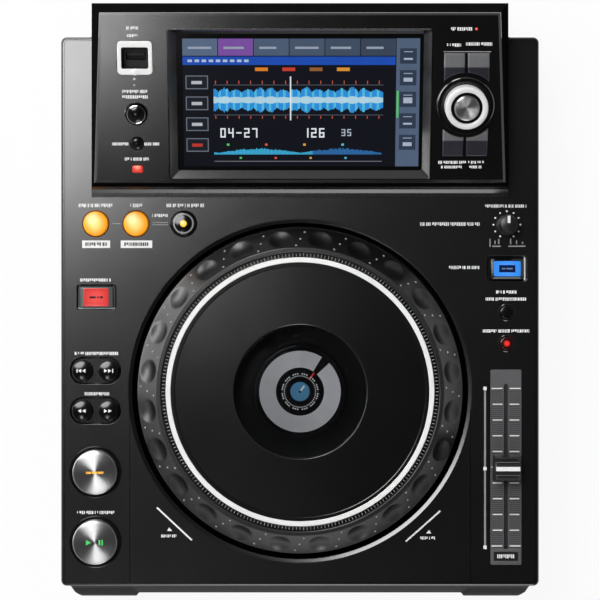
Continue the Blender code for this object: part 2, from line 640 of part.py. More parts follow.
def board_bosses():
    # Where the two control boards hang from the deck.
    left = left_x(BOARD_FROM_SIDE + BOSS_RADIUS + SEAT_GAP)
    left_inner = left_x(BOARD_FROM_SIDE + LEFT_BOARD_WIDTH - BOSS_RADIUS - SEAT_GAP)
    right = right_x(BOARD_FROM_SIDE + BOSS_RADIUS + SEAT_GAP)
    right_inner = right_x(BOARD_FROM_SIDE + RIGHT_BOARD_WIDTH - BOSS_RADIUS - SEAT_GAP)
    low = front_y(LEFT_BOARD_FROM_FRONT + BOSS_RADIUS + SEAT_GAP)
    middle = front_y((DIRECTION_FROM_FRONT + TRACK_FROM_FRONT) / 2)
    arm = front_y(LEFT_BOARD_REAR_FROM_FRONT - BOSS_RADIUS - SEAT_GAP)
    arm_end = left_x(BOARD_FROM_SIDE + LEFT_BOARD_ARM_WIDTH - BOSS_RADIUS - SEAT_GAP)
    right_low = front_y(RIGHT_BOARD_FROM_FRONT + BOSS_RADIUS + SEAT_GAP)
    right_middle = front_y((MODE_FROM_FRONT + RANGE_FROM_FRONT) / 2)
    return [(left, low), (left_inner, low), (left_inner, middle), (left, arm), (arm_end, arm),
            (right, right_low), (right_inner, right_low), (right_inner, right_middle),
            (right, arm), (right_inner, arm)]


def deck_panel():
    def outline(z, inset):
        return case_outline(z, inset, HALF_WIDTH, DECK_FRONT_Y, 0)

    skirt = DECK_HEIGHT - DECK_SKIRT
    loops = [outline(DECK_UNDER, CASE_WALL), outline(skirt, CASE_WALL), outline(skirt, 0),
             outline(DECK_HEIGHT - DECK_EDGE, 0), outline(DECK_HEIGHT, DECK_EDGE)]
    deck = place("deck_panel", loft(loops), finish("deck_black", (0.045, 0.045, 0.048), 0.42))

    bosses = bmesh.new()
    for x, y in board_bosses():
        turned([(BOSS_RADIUS, BOARD_TOP + SEAT_GAP), (BOSS_RADIUS, DECK_UNDER + DECK_THICKNESS / 2)],
               BOSS_ROUND, bm=bosses, centre=(x, y))
    combine(deck, bosses, "deck_bosses", "UNION")

    recesses = bmesh.new()
    high = DECK_HEIGHT + OVERRUN
    for y in (front_y(TRACK_FROM_FRONT), front_y(SEARCH_FROM_FRONT)):
        middle = (left_x(SKIP_FROM_LEFT + SKIP_PITCH / 2), y)
        add_well(recesses, SKIP, middle)
    for middle in deck_keys().values():
        add_well(recesses, KEY, middle)
    plate = FADER_PLATE_THICKNESS + SEAT_GAP
    fader = (right_x(FADER_FROM_RIGHT), front_y(FADER_FROM_FRONT))
    fader_loops = [rounded_rect(FADER_PLATE_WIDTH + 2 * SEAT_GAP, FADER_PLATE_LENGTH + 2 * SEAT_GAP,
                                FADER_PLATE_CORNER, z, fader) for z in (high, DECK_HEIGHT - plate)]
    add_loft(recesses, fader_loops)
    combine(deck, recesses, "deck_recesses")

    holes = bmesh.new()
    low = DECK_UNDER - SHORT_OVERRUN
    for x, y, size in deck_round_keys().values():
        edge = size["radius"] + SLIDE_CLEARANCE
        wide = edge + size["dish"]
        dished = [(wide, high), (wide, DECK_HEIGHT), (edge, DECK_HEIGHT - size["dish_depth"]), (edge, low)]
        turned(dished, size["facets"], bm=holes, centre=(x, y))
    for x, y, size in skip_keys().values():
        edge = size["radius"] + SLIDE_CLEARANCE
        turned([(edge, high), (edge, low)], size["facets"], bm=holes, centre=(x, y))
    for middle in deck_keys().values():
        add_loft(holes, [key_outline(KEY, SLIDE_CLEARANCE, z, middle) for z in (high, low)])
    turned([(SPEED_KNOB["hole"], high), (SPEED_KNOB["hole"], low)], SMALL_ROUND, bm=holes,
           centre=(right_x(SPEED_FROM_RIGHT), front_y(SPEED_FROM_FRONT)))
    slot = [rounded_rect(FADER_SLOT_WIDTH, fader_slot_length(), FADER_SLOT_WIDTH / 2 - SEAT_GAP, z, fader)
            for z in (high, low)]
    add_loft(holes, slot)
    chamfered = [(BOWL_RADIUS + BOWL_CHAMFER + OVERRUN, high), (BOWL_RADIUS, DECK_HEIGHT - BOWL_CHAMFER),
                 (BOWL_RADIUS, low)]
    turned(chamfered, WHEEL_ROUND, bm=holes, centre=(0, JOG_Y))
    opening_y = REAR_Y - CABLE_OPENING_FROM_REAR
    add_box(holes, (-CABLE_OPENING_WIDTH / 2, opening_y - CABLE_OPENING_DEPTH / 2, low),
            (CABLE_OPENING_WIDTH / 2, opening_y + CABLE_OPENING_DEPTH / 2, high))
    combine(deck, holes, "deck_holes")
    return deck


def add_well(bm, size, middle):
    # A shallow recess with sloping walls round a control.
    floor = DECK_HEIGHT - size["well_sink"]
    run = size["well_run"]
    width = size["well_width"]
    depth = size["well_depth"]
    corner = size["well_corner"]
    wide = rounded_rect(width, depth, corner, DECK_HEIGHT, middle)
    above = [point + Vector((0, 0, OVERRUN)) for point in wide]
    deep = rounded_rect(width - 2 * run, depth - 2 * run, corner - run, floor, middle)
    add_loft(bm, [above, wide, deep])


def key_outline(size, grow, z, middle=(0, 0)):
    return rounded_rect(size["width"] + 2 * grow, size["depth"] + 2 * grow, size["corner"] + grow, z, middle)


def fader_slot_length():
    return FADER_TRAVEL + FADER_LEVER_LENGTH + 2 * FADER_SLOT_SPARE


# Buttons

def round_button(name, size, material, location, panel, board_depth, tilt=0.0):
    # A turned cap with a flange that holds it under its panel and a stem down to its switch.
    radius = size["radius"]
    top = size["rise"]
    under = -panel - SEAT_GAP
    stem_end = -board_depth + SWITCH_HEIGHT + size["travel"] + SEAT_GAP
    flange = radius + SLIDE_CLEARANCE + BUTTON_FLANGE
    profile = [(radius - size["edge"], top), (radius, top - size["edge"]), (radius, under), (flange, under),
               (flange, under - BUTTON_FLANGE_THICKNESS), (STEM_RADIUS, under - BUTTON_FLANGE_THICKNESS),
               (STEM_RADIUS, stem_end)]
    if "crown" in size:
        profile.insert(0, (radius / 2, top + size["crown"]))
    return place(name, turned(profile, size["facets"]), material, location, tilt, angle_deg=40)


def key_button(name, size, material, location, panel, board_depth, tilt=0.0):
    top = size["rise"]
    under = -panel - SEAT_GAP
    stem_end = -board_depth + SWITCH_HEIGHT + size["travel"] + SEAT_GAP
    flange = SLIDE_CLEARANCE + BUTTON_FLANGE
    stem = {"width": 2 * STEM_RADIUS, "depth": 2 * STEM_RADIUS, "corner": STEM_RADIUS / 2}
    loops = [key_outline(size, -size["edge"], top), key_outline(size, 0, top - size["edge"]),
             key_outline(size, 0, under), key_outline(size, flange, under),
             key_outline(size, flange, under - BUTTON_FLANGE_THICKNESS),
             key_outline(stem, 0, under - BUTTON_FLANGE_THICKNESS), key_outline(stem, 0, stem_end)]
    return place(name, loft(loops), material, location, tilt)


def deck_buttons():
    board_depth = DECK_HEIGHT - BOARD_TOP
    brushed = finish("brushed_metal", (0.72, 0.72, 0.72), 0.28, 1.0)
    amber = finish("amber_lens", (0.95, 0.52, 0.10), 0.35)
    gloss = finish("gloss_black", (0.02, 0.02, 0.022), 0.15)
    red = finish("red_lens", (0.85, 0.05, 0.06), 0.3)
    blue = finish("blue_lens", (0.10, 0.25, 0.75), 0.3)
    shown = {"cue_button": brushed, "play_button": brushed, "loop_in_button": amber,
             "loop_out_button": amber, "reloop_button": gloss, "tempo_range_button": gloss,
             "master_tempo_button": red}
    for name, (x, y, size) in deck_round_keys().items():
        round_button(name, size, shown[name], (x, y, DECK_HEIGHT), DECK_THICKNESS, board_depth)
    for name, (x, y, size) in skip_keys().items():
        round_button(name, size, gloss, (x, y, DECK_HEIGHT), DECK_THICKNESS, board_depth)
    for name, (x, y) in deck_keys().items():
        lens = red if name == "direction_button" else blue
        key_button(name, KEY, lens, (x, y, DECK_HEIGHT), DECK_THICKNESS, board_depth)


def speed_knob():
    size = SPEED_KNOB
    base = size["float"]
    top = size["rise"]
    edge = size["edge"]
    wide = size["base_radius"]
    shaft = size["shaft"]
    collar_top = -DECK_THICKNESS - SEAT_GAP
    collar_under = collar_top - size["collar_thickness"]
    end = BOARD_TOP + SEAT_GAP - DECK_HEIGHT
    profile = [(size["top_radius"] - edge, top), (size["top_radius"], top - edge),
               (wide - edge, base + size["skirt"]), (wide, base + edge), (wide, base), (shaft, base),
               (shaft, collar_top), (size["collar"], collar_top), (size["collar"], collar_under),
               (shaft, collar_under), (shaft, end)]
    location = (right_x(SPEED_FROM_RIGHT), front_y(SPEED_FROM_FRONT), DECK_HEIGHT)
    place("speed_knob", turned(profile, SMALL_ROUND), finish("knob_black", (0.03, 0.03, 0.03), 0.5), location)


# Tempo fader

def tempo_fader():
    x = right_x(FADER_FROM_RIGHT)
    y = front_y(FADER_FROM_FRONT)
    plate_under = DECK_HEIGHT - FADER_PLATE_THICKNESS
    slot = (FADER_SLOT_WIDTH, fader_slot_length(), FADER_SLOT_WIDTH / 2 - SEAT_GAP)
    plate = (FADER_PLATE_WIDTH, FADER_PLATE_LENGTH, FADER_PLATE_CORNER)
    levels = ((slot, DECK_HEIGHT), (slot, plate_under), (plate, plate_under), (plate, DECK_HEIGHT))
    plate_loops = [rounded_rect(*plan, z, (x, y)) for plan, z in levels]
    place("fader_plate", loft(plate_loops, ring=True), finish("plate_grey", (0.22, 0.22, 0.23), 0.45))

    channel = []
    top = DECK_UNDER - SEAT_GAP
    bottom = top - FADER_BODY_HEIGHT
    wall = 2 * FADER_BODY_WALL
    for width, length, z in (
            (FADER_BODY_WIDTH, FADER_BODY_LENGTH, bottom), (FADER_BODY_WIDTH, FADER_BODY_LENGTH, top),
            (FADER_BODY_WIDTH - wall, FADER_BODY_LENGTH - wall, top),
            (FADER_BODY_WIDTH - wall, FADER_BODY_LENGTH - wall, bottom + FADER_BODY_WALL)):
        channel.append(rounded_rect(width, length, FADER_BODY_WALL / 2, z, (x, y), steps=1))
    place("fader_body", loft(channel), finish("fader_steel", (0.5, 0.5, 0.52), 0.4, 1.0))

    # The cap's side view: finger dishes before and behind a middle ridge.
    share = FADER_CAP_TOP_SHARE
    half_x = FADER_CAP_WIDTH / 2
    half_y = FADER_CAP_LENGTH / 2
    crest = half_y * share
    ridge = FADER_CAP_RIDGE / 2
    bottom_y = (crest + ridge) / 2
    low = FADER_CAP_RISE - FADER_CAP_DISH
    ridge_foot = low + FADER_CAP_DISH / 3
    half_side = [(crest, FADER_CAP_RISE), (bottom_y, low), (ridge, ridge_foot), (ridge, FADER_CAP_RISE)]
    side = [(-half_y, FADER_CAP_FLOAT), (half_y, FADER_CAP_FLOAT)] + half_side
    side += [(-y_cap, z) for y_cap, z in reversed(half_side)]
    ends = []
    for direction in (-1, 1):
        ends.append([Vector((direction * half_x * (1 - (1 - share) * z / FADER_CAP_RISE), y_cap, z))
                     for y_cap, z in side])
    black = finish("cap_black", (0.03, 0.03, 0.032), 0.4)
    cap = place("fader_cap", loft(ends), black, (x, y, DECK_HEIGHT), angle_deg=25)
    lever = add_box(bmesh.new(), (-FADER_LEVER_WIDTH / 2, -FADER_LEVER_LENGTH / 2, -FADER_LEVER_DEPTH),
                    (FADER_LEVER_WIDTH / 2, FADER_LEVER_LENGTH / 2, FADER_CAP_FLOAT + OVERRUN))
    combine(cap, lever, "cap_lever", "UNION", (x, y, DECK_HEIGHT))


# Jog wheel

def jog_ring():
    slope_top = JOG_RADIUS - JOG_EDGE - JOG_SLOPE_RUN
    shoulder = DECK_HEIGHT + JOG_SHOULDER
    slope_rise = JOG_RISE - JOG_SHOULDER - JOG_EDGE
    drop = JOG_WALL / math.sqrt(2)
    skirt = DECK_HEIGHT - JOG_SKIRT_DEPTH
    ledge_under = LEDGE_TOP - HUB_WALL
    inner_start = (JOG_RADIUS - JOG_EDGE - drop, shoulder - drop)
    inner_wall = JOG_RADIUS - JOG_WALL
    inner_wall_z = inner_start[1] + (inner_start[0] - inner_wall)
    under_slope = inner_start[0] - (ledge_under - inner_start[1])
    profile = [(JOG_RADIUS, skirt), (JOG_RADIUS, shoulder - JOG_EDGE), (JOG_RADIUS - JOG_EDGE, shoulder),
               (slope_top, shoulder + slope_rise), (slope_top - JOG_EDGE, JOG_TOP), (JOG_BORE, JOG_TOP),
               (JOG_BORE, LEDGE_TOP), (JOG_BORE - JOG_LEDGE, LEDGE_TOP), (JOG_BORE - JOG_LEDGE, ledge_under),
               (under_slope, ledge_under), (inner_wall, inner_wall_z), (inner_wall, skirt)]
    black = finish("jog_black", (0.05, 0.05, 0.054), 0.38)
    ring = place("jog_ring", turned(profile, WHEEL_ROUND, ring=True), black, (0, JOG_Y, 0), angle_deg=30)

    # Each dimple is a shallow slice of a ball, sunk square to the 45 degree slope.
    ball = (DIMPLE_RADIUS ** 2 + DIMPLE_DEPTH ** 2) / (2 * DIMPLE_DEPTH)
    middle_r = JOG_RADIUS - JOG_EDGE - JOG_SLOPE_RUN / 2
    middle_z = shoulder + slope_rise / 2
    cutter = bmesh.new()
    for index in range(DIMPLE_COUNT):
        angle = math.radians(DIMPLE_FIRST_DEG + 360 / DIMPLE_COUNT * index)
        loops = []
        for step in range(1, DIMPLE_RINGS + 1):
            radius = DIMPLE_RADIUS * step / DIMPLE_RINGS
            below = math.sqrt(ball ** 2 - radius ** 2) - (ball - DIMPLE_DEPTH)
            loops.append(circle(radius, -below, DIMPLE_ROUND))
        loops.append(circle(DIMPLE_RADIUS + DIMPLE_DEPTH, DIMPLE_DEPTH, DIMPLE_ROUND))
        rows = add_loft(bmesh.new(), loops)
        lean = Matrix.Translation((0, middle_r, middle_z)) @ Matrix.Rotation(-math.pi / 4, 4, "X")
        bmesh.ops.transform(rows, matrix=Matrix.Rotation(-angle, 4, "Z") @ lean, verts=rows.verts)
        piece = bpy.data.meshes.new("dimple")
        rows.to_mesh(piece)
        rows.free()
        cutter.from_mesh(piece)
        bpy.data.meshes.remove(piece)
    combine(ring, cutter, "jog_dimples", location=(0, JOG_Y, 0))


def jog_plate():
    window_hole = WINDOW_RADIUS + SEAT_GAP
    window_floor = PLATE_TOP - PLATE_STEP - WINDOW_THICKNESS - SEAT_GAP
    groove = PLATE_TOP - TRIM_THICKNESS - SEAT_GAP + TRIM_PROUD
    outer = JOG_BORE - SEAT_GAP
    under = LEDGE_TOP + SEAT_GAP
    edge_low = PLATE_TOP - PLATE_GROOVE_DEPTH
    middle_top = PLATE_TOP - PLATE_STEP
    ledge = WINDOW_RADIUS - WINDOW_LEDGE
    groove_outer = TRIM_OUTER + SEAT_GAP
    groove_inner = TRIM_INNER - SEAT_GAP
    profile = [(outer, under), (outer, edge_low), (outer - PLATE_GROOVE_WIDTH, edge_low),
               (outer - PLATE_GROOVE_WIDTH, PLATE_TOP), (groove_outer, PLATE_TOP), (groove_outer, groove),
               (groove_inner, groove), (groove_inner, PLATE_TOP), (PLATE_STEP_RADIUS + PLATE_STEP, PLATE_TOP),
               (PLATE_STEP_RADIUS, middle_top), (window_hole, middle_top), (window_hole, window_floor),
               (ledge, window_floor), (ledge, under)]
    black = finish("platter_black", (0.02, 0.02, 0.022), 0.3)
    place("jog_plate", turned(profile, WHEEL_ROUND, ring=True), black, (0, JOG_Y, 0))

    trim_low = groove + SEAT_GAP
    trim = [(TRIM_OUTER, trim_low), (TRIM_OUTER, trim_low + TRIM_THICKNESS),
            (TRIM_INNER, trim_low + TRIM_THICKNESS), (TRIM_INNER, trim_low)]
    white = finish("trim_white", (0.9, 0.9, 0.9), 0.35)
    place("jog_trim", turned(trim, WHEEL_ROUND, ring=True), white, (0, JOG_Y, 0))

    window_low = window_floor + SEAT_GAP
    window = [(WINDOW_RADIUS, window_low), (WINDOW_RADIUS, window_low + WINDOW_THICKNESS)]
    clear = finish("window_clear", (0.1, 0.1, 0.11), 0.05)
    place("jog_window", turned(window, WHEEL_ROUND), clear, (0, JOG_Y, 0))


def hub_levels():
    flange_top = LEDGE_TOP
    dish_top = flange_top - HUB_DISH_DEPTH
    return flange_top, dish_top, dish_top - HUB_WALL


def jog_hub():
    flange_top, dish_top, dish_under = hub_levels()
    flange = JOG_BORE - JOG_LEDGE - SEAT_GAP
    end = dish_under - HUB_TUBE_LENGTH
    slope = HUB_DISH_RADIUS + HUB_DISH_SLOPE
    profile = [(HUB_TUBE_RADIUS, end), (HUB_TUBE_RADIUS, dish_under), (HUB_DISH_RADIUS, dish_under),
               (slope, flange_top - HUB_WALL), (flange, flange_top - HUB_WALL), (flange, flange_top),
               (slope - HUB_WALL, flange_top), (HUB_DISH_RADIUS - HUB_WALL, dish_top), (HUB_BORE, dish_top),
               (HUB_BORE, end)]
    grey = finish("hub_grey", (0.35, 0.35, 0.36), 0.5)
    place("jog_hub", turned(profile, SHAFT_ROUND, ring=True), grey, (0, JOG_Y, 0))

    bore = HUB_TUBE_RADIUS + SEAT_GAP
    low = end + ENCODER_ABOVE_TUBE_END
    count = ENCODER_NOTCHES * 4

    def notched(z):
        points = circle(ENCODER_RADIUS, z, count)
        for index, point in enumerate(points):
            if index % 4 in (1, 2):
                point.xy = point.xy * (1 - ENCODER_NOTCH_DEPTH / ENCODER_RADIUS)
        return points

    collar = bore + ENCODER_COLLAR
    disc_top = low + ENCODER_THICKNESS
    high = low + ENCODER_COLLAR_HEIGHT
    loops = [circle(bore, low, count), notched(low), notched(disc_top), circle(collar, disc_top, count),
             circle(collar, high, count), circle(bore, high, count)]
    place("jog_encoder", loft(loops, ring=True), finish("encoder_grey", (0.2, 0.2, 0.2), 0.5), (0, JOG_Y, 0))


def jog_bowl():
    floor = DECK_HEIGHT - BOWL_DEPTH
    top = DECK_UNDER - SEAT_GAP
    bearing_outer = HUB_TUBE_RADIUS + BEARING_CLEARANCE + BEARING_WALL
    hole = bearing_outer + SEAT_GAP
    flange = BOWL_RADIUS + BOWL_FLANGE
    outer = BOWL_RADIUS + BOWL_WALL
    profile = [(hole, floor - BOWL_WALL), (outer, floor - BOWL_WALL), (outer, top - BOWL_WALL),
               (flange, top - BOWL_WALL), (flange, top), (BOWL_RADIUS, top), (BOWL_RADIUS, floor),
               (hole, floor)]
    black = finish("bowl_black", (0.02, 0.02, 0.02), 0.5)
    place("jog_bowl", turned(profile, BOWL_ROUND, ring=True), black, (0, JOG_Y, 0))

    dish_under = hub_levels()[2]
    inner = HUB_TUBE_RADIUS + BEARING_CLEARANCE
    seat = floor + SEAT_GAP
    seat_top = seat + BEARING_FLANGE_THICKNESS
    end = floor - BEARING_LENGTH
    bearing_flange = bearing_outer + BEARING_FLANGE
    bearing = [(inner, dish_under - SEAT_GAP), (inner, end), (bearing_outer, end), (bearing_outer, seat),
               (bearing_flange, seat), (bearing_flange, seat_top), (bearing_outer, seat_top),
               (bearing_outer, dish_under - SEAT_GAP)]
    bronze = finish("bearing_bronze", (0.55, 0.42, 0.22), 0.35, 1.0)
    place("jog_bearing", turned(bearing, SHAFT_ROUND, ring=True), bronze, (0, JOG_Y, 0))


def jog_display():
    # The round display stands still on its post while the wheel turns round it.
    window_low = PLATE_TOP - PLATE_STEP - WINDOW_THICKNESS
    top = window_low - DISPLAY_UNDER_WINDOW
    under = top - DISPLAY_THICKNESS
    foot = FLOOR_TOP + SEAT_GAP
    foot_top = foot + POST_FLANGE_THICKNESS
    flange = POST_RADIUS + POST_FLANGE
    post = [(flange, foot), (flange, foot_top), (POST_RADIUS, foot_top), (POST_RADIUS, under)]
    disc = [(DISPLAY_RADIUS, under), (DISPLAY_RADIUS, top - DISPLAY_EDGE), (DISPLAY_RADIUS - DISPLAY_EDGE, top)]
    dark = finish("display_dark", (0.03, 0.03, 0.035), 0.3)
    place("jog_display", turned(post + disc, SHAFT_ROUND), dark, (0, JOG_Y, 0))


# Display console

def face_height(y, depth):
    return FACE_FRONT_Z + (y - FACE_FRONT_Y) * FACE_SLOPE - depth / math.cos(TILT)


def console_edges(z, inset):
    # The drafted walls' half width, front and rear at a height.
    rise = z - DECK_HEIGHT
    half = CONSOLE_HALF - CONSOLE_SIDE_DRAFT_SHARE * rise - inset
    rear = REAR_Y - CONSOLE_REAR_DRAFT_SHARE * rise - inset
    front = FACE_FRONT_Y + CONSOLE_FRONT_DRAFT_SHARE * (z - FACE_FRONT_Z) + inset
    return half, front, rear


def console_flat(z, inset, forward=0.0):
    half, front, rear = console_edges(z, inset)
    front -= forward
    plan = ((-half, front), (half, front), (half, rear), (-half, rear))
    return [Vector((x, y, z)) for x, y in plan]


def console_sloped(depth, inset):
    # The walls' outline where a plane at a depth under the face cuts them.
    slope_drop = depth / math.cos(TILT)
    share = CONSOLE_REAR_DRAFT_SHARE
    base = REAR_Y - inset + share * DECK_HEIGHT
    rear_z = (FACE_FRONT_Z + (base - FACE_FRONT_Y) * FACE_SLOPE - slope_drop) / (1 + share * FACE_SLOPE)
    lean = 1 - CONSOLE_FRONT_DRAFT_SHARE * FACE_SLOPE
    front_z = (FACE_FRONT_Z * lean + inset * FACE_SLOPE - slope_drop) / lean
    front_half, front, _ = console_edges(front_z, inset)
    rear_half, _, rear = console_edges(rear_z, inset)
    return [Vector((-front_half, front, front_z)), Vector((front_half, front, front_z)),
            Vector((rear_half, rear, rear_z)), Vector((-rear_half, rear, rear_z))]


def console_housing():
    seat = FACE_THICKNESS + SEAT_GAP
    loops = [console_sloped(seat, CONSOLE_WALL), console_flat(CONSOLE_BASE, CONSOLE_WALL)]
    for step in range(CONSOLE_FILLET_STEPS + 1):
        angle = math.pi / 2 * step / CONSOLE_FILLET_STEPS
        z = CONSOLE_BASE + CONSOLE_FILLET * (1 - math.cos(angle))
        forward = CONSOLE_FILLET * (1 - math.sin(angle))
        loops.append(console_flat(z + SEAT_GAP * (step == 0), 0, forward))
    loops.insert(2, console_flat(CONSOLE_BASE, 0, CONSOLE_FILLET))
    loops.append(console_sloped(seat, 0))
    black = finish("console_black", (0.05, 0.05, 0.053), 0.42)
    housing = place("console_housing", loft(loops, ring=True), black, angle_deg=25)
    side = SCREEN_HALF_WIDTH + 2 * SEAT_GAP
    notch = add_box(bmesh.new(), (-side, SCREEN_FRONT - 2 * SEAT_GAP, -BEZEL_DEPTH - SEAT_GAP),
                    (side, SCREEN_FRONT + CONSOLE_WALL + OVERRUN, 0))
    combine(housing, notch, "housing_notch", location=on_face(0, 0), tilt=TILT)


def side_button_outline(z, grow, across, along):
    # One of the four keys: straight outer sides, its inner edge an arc round the selector.
    outer = (SIDE_BUTTON_LEFT if across < 0 else SIDE_BUTTON_RIGHT) + grow
    inner = SIDE_BUTTON_HALF_WEB - grow
    arc = SIDE_BUTTON_ARC - grow
    reach = SIDE_BUTTON_REACH + grow
    start = math.asin(outer / arc)
    end = math.asin(inner / arc)
    points = [(outer, reach), (inner, reach)]
    for step in range(SIDE_BUTTON_ARC_STEPS + 1):
        angle = end + (start - end) * step / SIDE_BUTTON_ARC_STEPS
        points.append((arc * math.sin(angle), arc * math.cos(angle)))
    return [Vector((across * x, along * y, z)) for x, y in points]


# Which side of the selector each key stands on: across, and up the slope.
SIDE_BUTTONS = {"back_button": (-1, 1), "tag_button": (1, 1), "filter_button": (-1, -1),
                "shortcut_button": (1, -1)}


def console_round_keys():
    return {"usb_stop_button": (STOP_X, STOP_V, STOP), "time_mode_button": (STOP_X, TIME_V, TIME)}


def console_face():
    loops = [console_sloped(FACE_THICKNESS, 0), console_sloped(FACE_EDGE, 0), console_sloped(0, FACE_EDGE)]
    face = place("console_face", loft(loops), finish("face_black", (0.05, 0.05, 0.053), 0.36), angle_deg=25)

    collar = [(COLLAR_OUTER, -FACE_THICKNESS / 2), (COLLAR_OUTER, COLLAR_RISE - COLLAR_EDGE),
              (COLLAR_OUTER - COLLAR_EDGE, COLLAR_RISE), (COLLAR_INNER, COLLAR_RISE),
              (COLLAR_INNER, -FACE_THICKNESS / 2)]
    combine(face, turned(collar, SHAFT_ROUND, ring=True), "face_collar", "UNION",
            on_face(SELECTOR_X, SELECTOR_V), TILT)

    recesses = bmesh.new()
    flange = 2 * SEAT_GAP
    frame_loops = [rounded_rect(USB_FRAME_WIDTH + flange, USB_FRAME_DEPTH + flange, USB_FRAME_CORNER, z,
                                (USB_X, USB_V)) for z in (OVERRUN, -USB_FRAME_FLANGE - SEAT_GAP)]
    add_loft(recesses, frame_loops)
    combine(face, recesses, "face_recesses", location=on_face(0, 0), tilt=TILT)

    holes = bmesh.new()
    low = -FACE_THICKNESS - OVERRUN
    for x, v, size in console_round_keys().values():
        edge = size["radius"] + SLIDE_CLEARANCE
        wide = edge + size["dish"]
        dished = [(wide, OVERRUN), (wide, 0), (edge, -size["dish_depth"]), (edge, low)]
        turned(dished, size["facets"], bm=holes, centre=(x, v))
    add_loft(holes, [key_outline(QUANTIZE, SLIDE_CLEARANCE, z, (STOP_X, QUANTIZE_V)) for z in (OVERRUN, low)])
    plunger = PLUNGER_RADIUS + PLUNGER_HOLE_CLEARANCE
    turned([(plunger, OVERRUN), (plunger, low)], SMALL_ROUND, bm=holes, centre=(SELECTOR_X, SELECTOR_V))
    for across, along in SIDE_BUTTONS.values():
        outline = [side_button_outline(z, SLIDE_CLEARANCE, across, along) for z in (OVERRUN, low)]
        shift = Vector((SELECTOR_X, SELECTOR_V, 0))
        add_loft(holes, [[point + shift for point in loop] for loop in outline])
    well = 2 * (USB_WELL_WALL + SEAT_GAP)
    well_plan = (USB_WINDOW_WIDTH + well, USB_WINDOW_DEPTH + well, USB_WELL_WALL)
    add_loft(holes, [rounded_rect(*well_plan, z, (USB_X, USB_V)) for z in (OVERRUN, low)])
    screen = 2 * SEAT_GAP
    add_loft(holes, [screen_loop(z, -screen / 2) for z in (OVERRUN, low)])
    combine(face, holes, "face_holes", location=on_face(0, 0), tilt=TILT)
    return face


def screen_loop(z, inset, side=0.0, front=0.0, rear=0.0):
    width = 2 * (SCREEN_HALF_WIDTH - inset - side)
    low = SCREEN_FRONT + inset + front
    high = SCREEN_REAR - inset - rear
    return rounded_rect(width, high - low, BEZEL_CORNER, z, (0, (low + high) / 2), steps=1)


def screen():
    place_on_face = {"location": on_face(0, 0), "tilt": TILT}
    bezel = [screen_loop(0, 0), screen_loop(-BEZEL_DEPTH, 0),
             screen_loop(-BEZEL_DEPTH, 0, BEZEL_SIDE_RUN, BEZEL_FRONT_RUN, BEZEL_REAR_RUN),
             screen_loop(0, BEZEL_LIP)]
    gloss = finish("bezel_gloss", (0.015, 0.015, 0.017), 0.12)
    place("screen_bezel", loft(bezel, ring=True), gloss, **place_on_face)
    glass_top = -BEZEL_DEPTH - SEAT_GAP
    glass = [screen_loop(glass_top, GLASS_MARGIN), screen_loop(glass_top - GLASS_THICKNESS, GLASS_MARGIN)]
    place("touch_glass", loft(glass), finish("glass_dark", (0.02, 0.03, 0.05), 0.05), **place_on_face)
    lcd_top = glass_top - GLASS_THICKNESS - SEAT_GAP
    lcd = [screen_loop(lcd_top, GLASS_MARGIN), screen_loop(lcd_top - LCD_THICKNESS, GLASS_MARGIN)]
    place("lcd_module", loft(lcd), finish("lcd_frame", (0.4, 0.4, 0.42), 0.4, 1.0), **place_on_face)


def console_board():
    middle = (CONSOLE_BOARD_FRONT + CONSOLE_BOARD_REAR) / 2
    depth = CONSOLE_BOARD_REAR - CONSOLE_BOARD_FRONT
    loops = [rounded_rect(2 * CONSOLE_BOARD_HALF_WIDTH, depth, BOSS_RADIUS, z, (0, middle), steps=1)
             for z in (-CONSOLE_BOARD_DEPTH - BOARD_THICKNESS, -CONSOLE_BOARD_DEPTH)]
    green = finish("board_green", (0.05, 0.22, 0.10), 0.5)
    board = place("console_board", loft(loops), green, on_face(0, 0), TILT)
    switches = bmesh.new()
    places = [(x, v) for x, v, _ in console_round_keys().values()] + [(STOP_X, QUANTIZE_V)]
    for across, along in SIDE_BUTTONS.values():
        places.append(side_button_stem(across, along))
    for x, v in places:
        add_switch(switches, x, v, -CONSOLE_BOARD_DEPTH)
    add_switch(switches, SELECTOR_X, SELECTOR_V, -CONSOLE_BOARD_DEPTH)
    combine(board, switches, "console_switches", "UNION", on_face(0, 0), TILT)


def add_switch(bm, x, y, board_top):
    half = SWITCH_SIZE / 2
    root = board_top - BOARD_THICKNESS / 2
    add_box(bm, (x - half, y - half, root), (x + half, y + half, board_top + SWITCH_HEIGHT))


def side_button_stem(across, along):
    outer = SIDE_BUTTON_LEFT if across < 0 else SIDE_BUTTON_RIGHT
    x = SELECTOR_X + across * (outer + SIDE_BUTTON_HALF_WEB) / 2
    v = SELECTOR_V + along * (SIDE_BUTTON_ARC + SIDE_BUTTON_REACH) / 2
    return x, v


